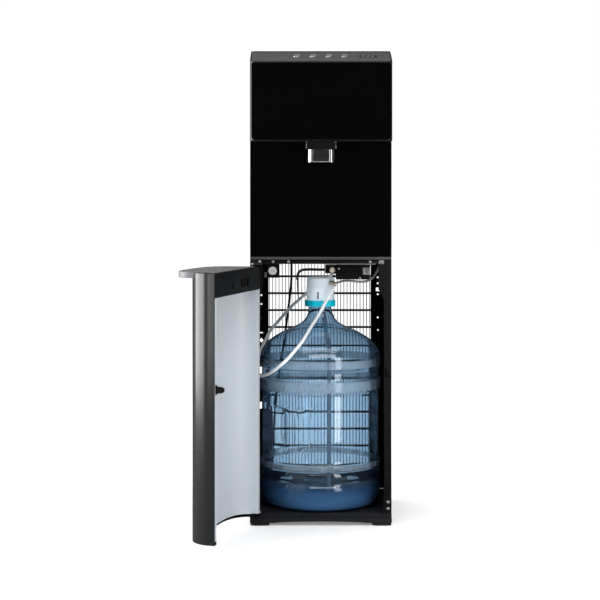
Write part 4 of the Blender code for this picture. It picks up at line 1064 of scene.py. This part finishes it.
BOTTLE_Y = 0.132
NECK_R = 0.0255
NECK_TOP = 0.512


def bottle_profile():
    """Outer radius and height of the bottle, base to mouth, with its ribs and grooves."""
    rib, body = 0.1365, 0.1325
    knots = [
        (0.0001, 0.0300), (0.060, 0.0295), (0.098, 0.0262), (0.110, 0.0254), (0.124, 0.031), (0.133, 0.046),
        (0.1352, 0.060), (0.1352, 0.075), (0.1328, 0.082), (0.1312, 0.0865), (0.1326, 0.0905), (0.1345, 0.095),
        (0.1345, 0.106), (0.1322, 0.1105), (0.1338, 0.114), (rib, 0.1165), (rib, 0.1255), (0.1342, 0.1295),
        (body, 0.134), (body, 0.160), (body, 0.200), (body, 0.240), (body, 0.279), (0.1345, 0.284),
        (rib, 0.289), (rib, 0.308), (0.1345, 0.3125), (body, 0.317), (body, 0.330), (0.1345, 0.3345),
        (rib, 0.339), (rib, 0.352), (0.1352, 0.363), (0.1295, 0.376), (0.1174, 0.391), (0.099, 0.404),
        (0.0789, 0.415), (0.0600, 0.423), (0.0448, 0.431), (0.0360, 0.4385), (0.031, 0.446), (0.0272, 0.456),
        (NECK_R, 0.466), (NECK_R, 0.490), (NECK_R, NECK_TOP),
    ]
    points = [(p.x, p.y) for p in smooth_path([(r, z, 0) for r, z in knots], 0.0026)]
    return [(min(r, rib), max(z, 0.0254)) for r, z in points]


def grip(height, turn):
    """How far the bottle's wall is pressed in at a place: two pockets with an upright grip between them."""
    up = max(0.0, 1 - ((height - 0.205) / 0.050) ** 4)
    around = math.degrees(turn) % 360
    depth = 0.0
    for middle, width, deep in ((224.0, 12.0, 0.020), (254.0, 8.0, 0.010)):
        away = (around - middle) / width
        depth += deep * max(0.0, 1 - away * away) ** 1.5
    return depth * up**0.8


def bottle():
    outer = bottle_profile()
    wall = 0.0016
    inner = []
    for (r, z), (r0, z0), (r1, z1) in zip(outer, [outer[0], *outer], [*outer[1:], outer[-1]]):
        dr, dz = r1 - r0, z1 - z0
        size = math.hypot(dr, dz) or 1.0
        inner.append((max(r - wall * dz / size, 0.0001), z + wall * dr / size))
    inner[0] = (0.0001, outer[0][1] + wall)
    inner[-1] = (NECK_R - wall, NECK_TOP)
    profile = outer + list(reversed(inner))
    heights = [z for _, z in profile]
    bm = turned(profile, (0, BOTTLE_Y), 180, lambda index, t: -grip(heights[index], t))
    piece("bottle_blue_shell", bm, "blue_glass", "bottle", angle=60)


def bottle_cap():
    inner = NECK_R + 0.0007
    low, roof, top, side = 0.4833, NECK_TOP + 0.0015, 0.535, 0.0312
    profile = [(0, roof), (inner, roof), (inner, low), (side, low), (side, low + 0.004), (side, 0.5080)]
    profile += [(side, 0.5120), (side - 0.0008, 0.5135), (side - 0.0008, 0.531), (side - 0.0012, 0.5330)]
    profile += [(side - 0.0026, 0.5345), (side - 0.0045, top), (0.010, top - 0.0006), (0, top - 0.0008)]

    def flutes(index, t):
        return 0.00035 * math.cos(48 * t) - 0.00035 if index in (3, 4, 5) else 0.0

    slot = box((-0.0070, 0.090, 0.4865), (-0.0038, 0.1056, 0.5030))
    piece("cap_body_moulding", turned(profile, (0, BOTTLE_Y), 288, flutes), "milky_painted_glow", "cap_body",
          cuts=[slot], angle=35)
    # A thin black sliver set inside the cap's slot as a painted shadow, to darken the slot.
    piece("cap_slot_painted_shadow", box((-0.0069, 0.1022, 0.4867), (-0.0039, 0.1050, 0.5028)), "rubber_black")
    ring = [(inner, 0.4697), (0.0338, 0.4697), (0.0344, 0.4703), (0.0344, 0.4822), (0.0337, 0.4830),
            (inner, 0.4830)]

    def ribs(index, t):
        return 0.0003 * math.cos(72 * t) - 0.0003 if index in (2, 3) else 0.0

    piece("cap_ring_cyan", turned(ring, (0, BOTTLE_Y), 288, ribs), "cyan", "cap_ring", angle=35)
    elbow = [(0.0225, 0.1095, 0.5235), (0.0265, 0.1040, 0.5235), (0.0305, 0.0985, 0.5228),
             (0.0315, 0.0935, 0.5190)]
    tube("cap_elbow_bend", smooth_path(elbow, 0.0012), 0.0049, "beige", "cap_elbow", 8)
    suction = [(0.0020, 0.132, 0.5132), (0.0035, 0.132, 0.4700), (0.0120, 0.132, 0.4200),
               (0.0190, 0.132, 0.3600)]
    suction += [(0.0200, 0.132, 0.2000), (0.0195, 0.132, 0.0480)]
    tube("suction_tube_clear", smooth_path(suction, 0.008), 0.0049, "clear_tube", "suction_tube", 6)


# Pump and door switch ----------------------------------------


def pump():
    ribs = [box((0.033, 0.0235, z), (0.109, 0.0252, z + 0.0012)) for z in (0.5405, 0.5478, 0.5630)]
    stub = box((0.0104, 0.0450, 0.5480), (0.0345, 0.0800, 0.5655))
    cuts = [box((0.050 + 0.009 * k, 0.0200, 0.5510), (0.0545 + 0.009 * k, 0.0262, 0.5605)) for k in range(4)]
    piece("pump_housing", box((0.034, 0.0250, 0.5357), (0.108, 0.0950, 0.5680)), "moulded_black", "pump",
          adds=[stub], cuts=cuts, soft=0.0012, segments=3)
    piece("pump_ribs", joined(*ribs), "moulded_black", soft=0.0003)
    refined("pump_hanger", "hanger_steel", 0.0003)
    fitting = [(0, 0), (0.0050, 0), (0.0065, 0.0012), (0.0065, 0.0040), (0.0055, 0.0044), (0.0055, 0.0058),
               (0.0065, 0.0062), (0.0065, 0.0110), (0.0050, 0.0117), (0, 0.0117)]
    piece("pump_fitting_collar", turned(fitting, segments=48), "beige", "pump_fitting",
          facing_back(0.0262, 0.0330, 0.5560))
    piece("pump_terminal", box((0.0930, 0.0228, 0.5460), (0.1085, 0.0249, 0.5620)), "zinc", soft=0.0004,
          cuts=[box((0.0965, 0.0220, 0.5500), (0.1050, 0.0236, 0.5580))])
    for k, (x, z) in enumerate(((0.0395, 0.5595), (0.0865, 0.5385))):
        screw(f"pump_screw_{k + 1}", (x, 0.0249, z), (0, -1, 0), 0.0026)


def door_switch():
    x, z = -0.1054, 0.5560
    housing = box((-0.119, 0.0060, 0.5405), (-0.0907, 0.0280, 0.5705))
    cuts = [rod((x, 0.0040, z), (x, 0.0250, z), 0.0044, 48), rod((x, 0.0050, z), (x, 0.0068, z), 0.0105, 64)]
    piece("door_switch_box", housing, "moulded_black", "door_switch_housing", cuts=cuts,
          soft=0.0010, segments=3)
    disc = [(0, 0), (0.0080, 0), (0.0090, 0.0008), (0.0092, 0.0016), (0.0092, 0.0042), (0.0040, 0.0042),
            (0.0040, 0.0180), (0, 0.0180)]
    arm, width = 0.0040, 0.0007
    cuts = [box((-a, -b, -0.01), (a, b, 0.0009)) for a, b in ((arm, width), (width, arm))]
    piece("door_switch_button", turned(disc, segments=72), "plunger_grey", "door_switch_plunger",
          facing_back(x, -0.0012, z), cuts=cuts, soft=0.0002, angle=30)


# Cooling and back ----------------------------------------

RUNS, RUN_PITCH, RUN_LOW = 12, 0.0402, 0.125
COIL_Y, COIL_HALF, COIL_R = 0.309, 0.139, 0.0026
WIRES, WIRE_PITCH, WIRE_R = 34, 0.0077, 0.0008


def condenser():
    """A serpentine tube between two rows of upright wires."""
    bend = RUN_PITCH / 2
    reach = COIL_HALF - bend
    path = [(-reach - bend, RUN_LOW)]
    for run in range(RUNS):
        z = RUN_LOW + RUN_PITCH * run
        side = 1 if run % 2 == 0 else -1
        path += [(-side * reach, z), (side * reach, z)]
        if run < RUNS - 1:
            for k in range(1, 12):
                t = math.pi * k / 12 - math.pi / 2
                path.append((side * (reach + bend * math.cos(t)), z + bend + bend * math.sin(t)))
    tube("condenser_coil", [(x, COIL_Y, z) for x, z in path], COIL_R, "lacquer_black", "condenser_tube", 5)
    span = WIRE_PITCH * (WIRES - 1) / 2
    low, high = 0.076, RUN_LOW + RUN_PITCH * (RUNS - 1) + 0.012
    for name, y in (("front", COIL_Y - COIL_R - GAP - WIRE_R), ("rear", COIL_Y + COIL_R + GAP + WIRE_R)):
        rods = [rod((-span + WIRE_PITCH * k, y, low), (-span + WIRE_PITCH * k, y, high), WIRE_R, 10)
                for k in range(WIRES)]
        piece(f"condenser_rods_{name}", joined(*rods), "lacquer_black", f"condenser_wires_{name}", angle=50)


def hidden_parts():
    """Finishes for the parts shut inside the machine space."""
    looks = {
        "filter_drier": "copper",
        "cold_tank_insulation": "foam",
        "control_board": "board",
        "cold_tank": "tank_steel",
        "hot_tank": "tank_steel",
        "machine_shelf": "tank_steel",
        "compressor": "lacquer_black",
    }
    for node, look in looks.items():
        refined(node, look, 0.0)


def back_fittings():
    """Drain cap, cord gland and the two rocker switches."""
    x, z = middle_of("drain_cap")
    place = facing_back(x, box_of("drain_cap")[0].y, z)
    shape = [(0, 0.011), (0.0059, 0.011), (0.0059, 0), (0.0112, 0), (0.0120, 0.0010), (0.0120, 0.0130)]
    shape += [(0.0112, 0.0146), (0.0060, 0.0150), (0.0055, 0.0143), (0, 0.0143)]

    def knurl(index, t):
        return 0.0005 * math.cos(30 * t) - 0.0005 if index in (4, 5) else 0.0

    piece("drain_cap_knob", turned(shape, segments=240, wave=knurl), "moulded_black", "drain_cap", place)
    low, high = box_of("cord_gland")
    x, z = middle_of("cord_gland")
    reach = high.y - low.y
    shape = [(0, 0), (0.0058, 0), (0.0058, 0.0068), (0.0092, 0.0068), (0.0095, 0.0074), (0.0095, 0.0090)]
    shape += [(0.0088, 0.0095), (0.0062, 0.0095), (0.0062, 0.0112), (0.0054, 0.0118), (0.0062, 0.0126)]
    shape += [(0.0062, 0.0142), (0.0054, 0.0148), (0.0060, 0.0156), (0.0058, reach - 0.0004),
              (0.0052, reach)]
    shape += [(0.0034, reach), (0.0034, reach - 0.006), (0, reach - 0.006)]
    piece("cord_gland_relief", turned(shape, segments=64), "rubber_black", "cord_gland",
          facing_back(x, low.y, z))
    refined("rocker_switch_hot", "rocker_red", 0.0006, 3)
    refined("rocker_switch_cold", "rocker_green", 0.0006, 3)


camera()
studio()
cords()
base_tray()
side_panels()
front_frame()
rear_panel()
visor()
controls()
nozzle()
door()
drip_tray()
hinges()
bottle()
bottle_cap()
pump()
door_switch()
condenser()
hidden_parts()
back_fittings()
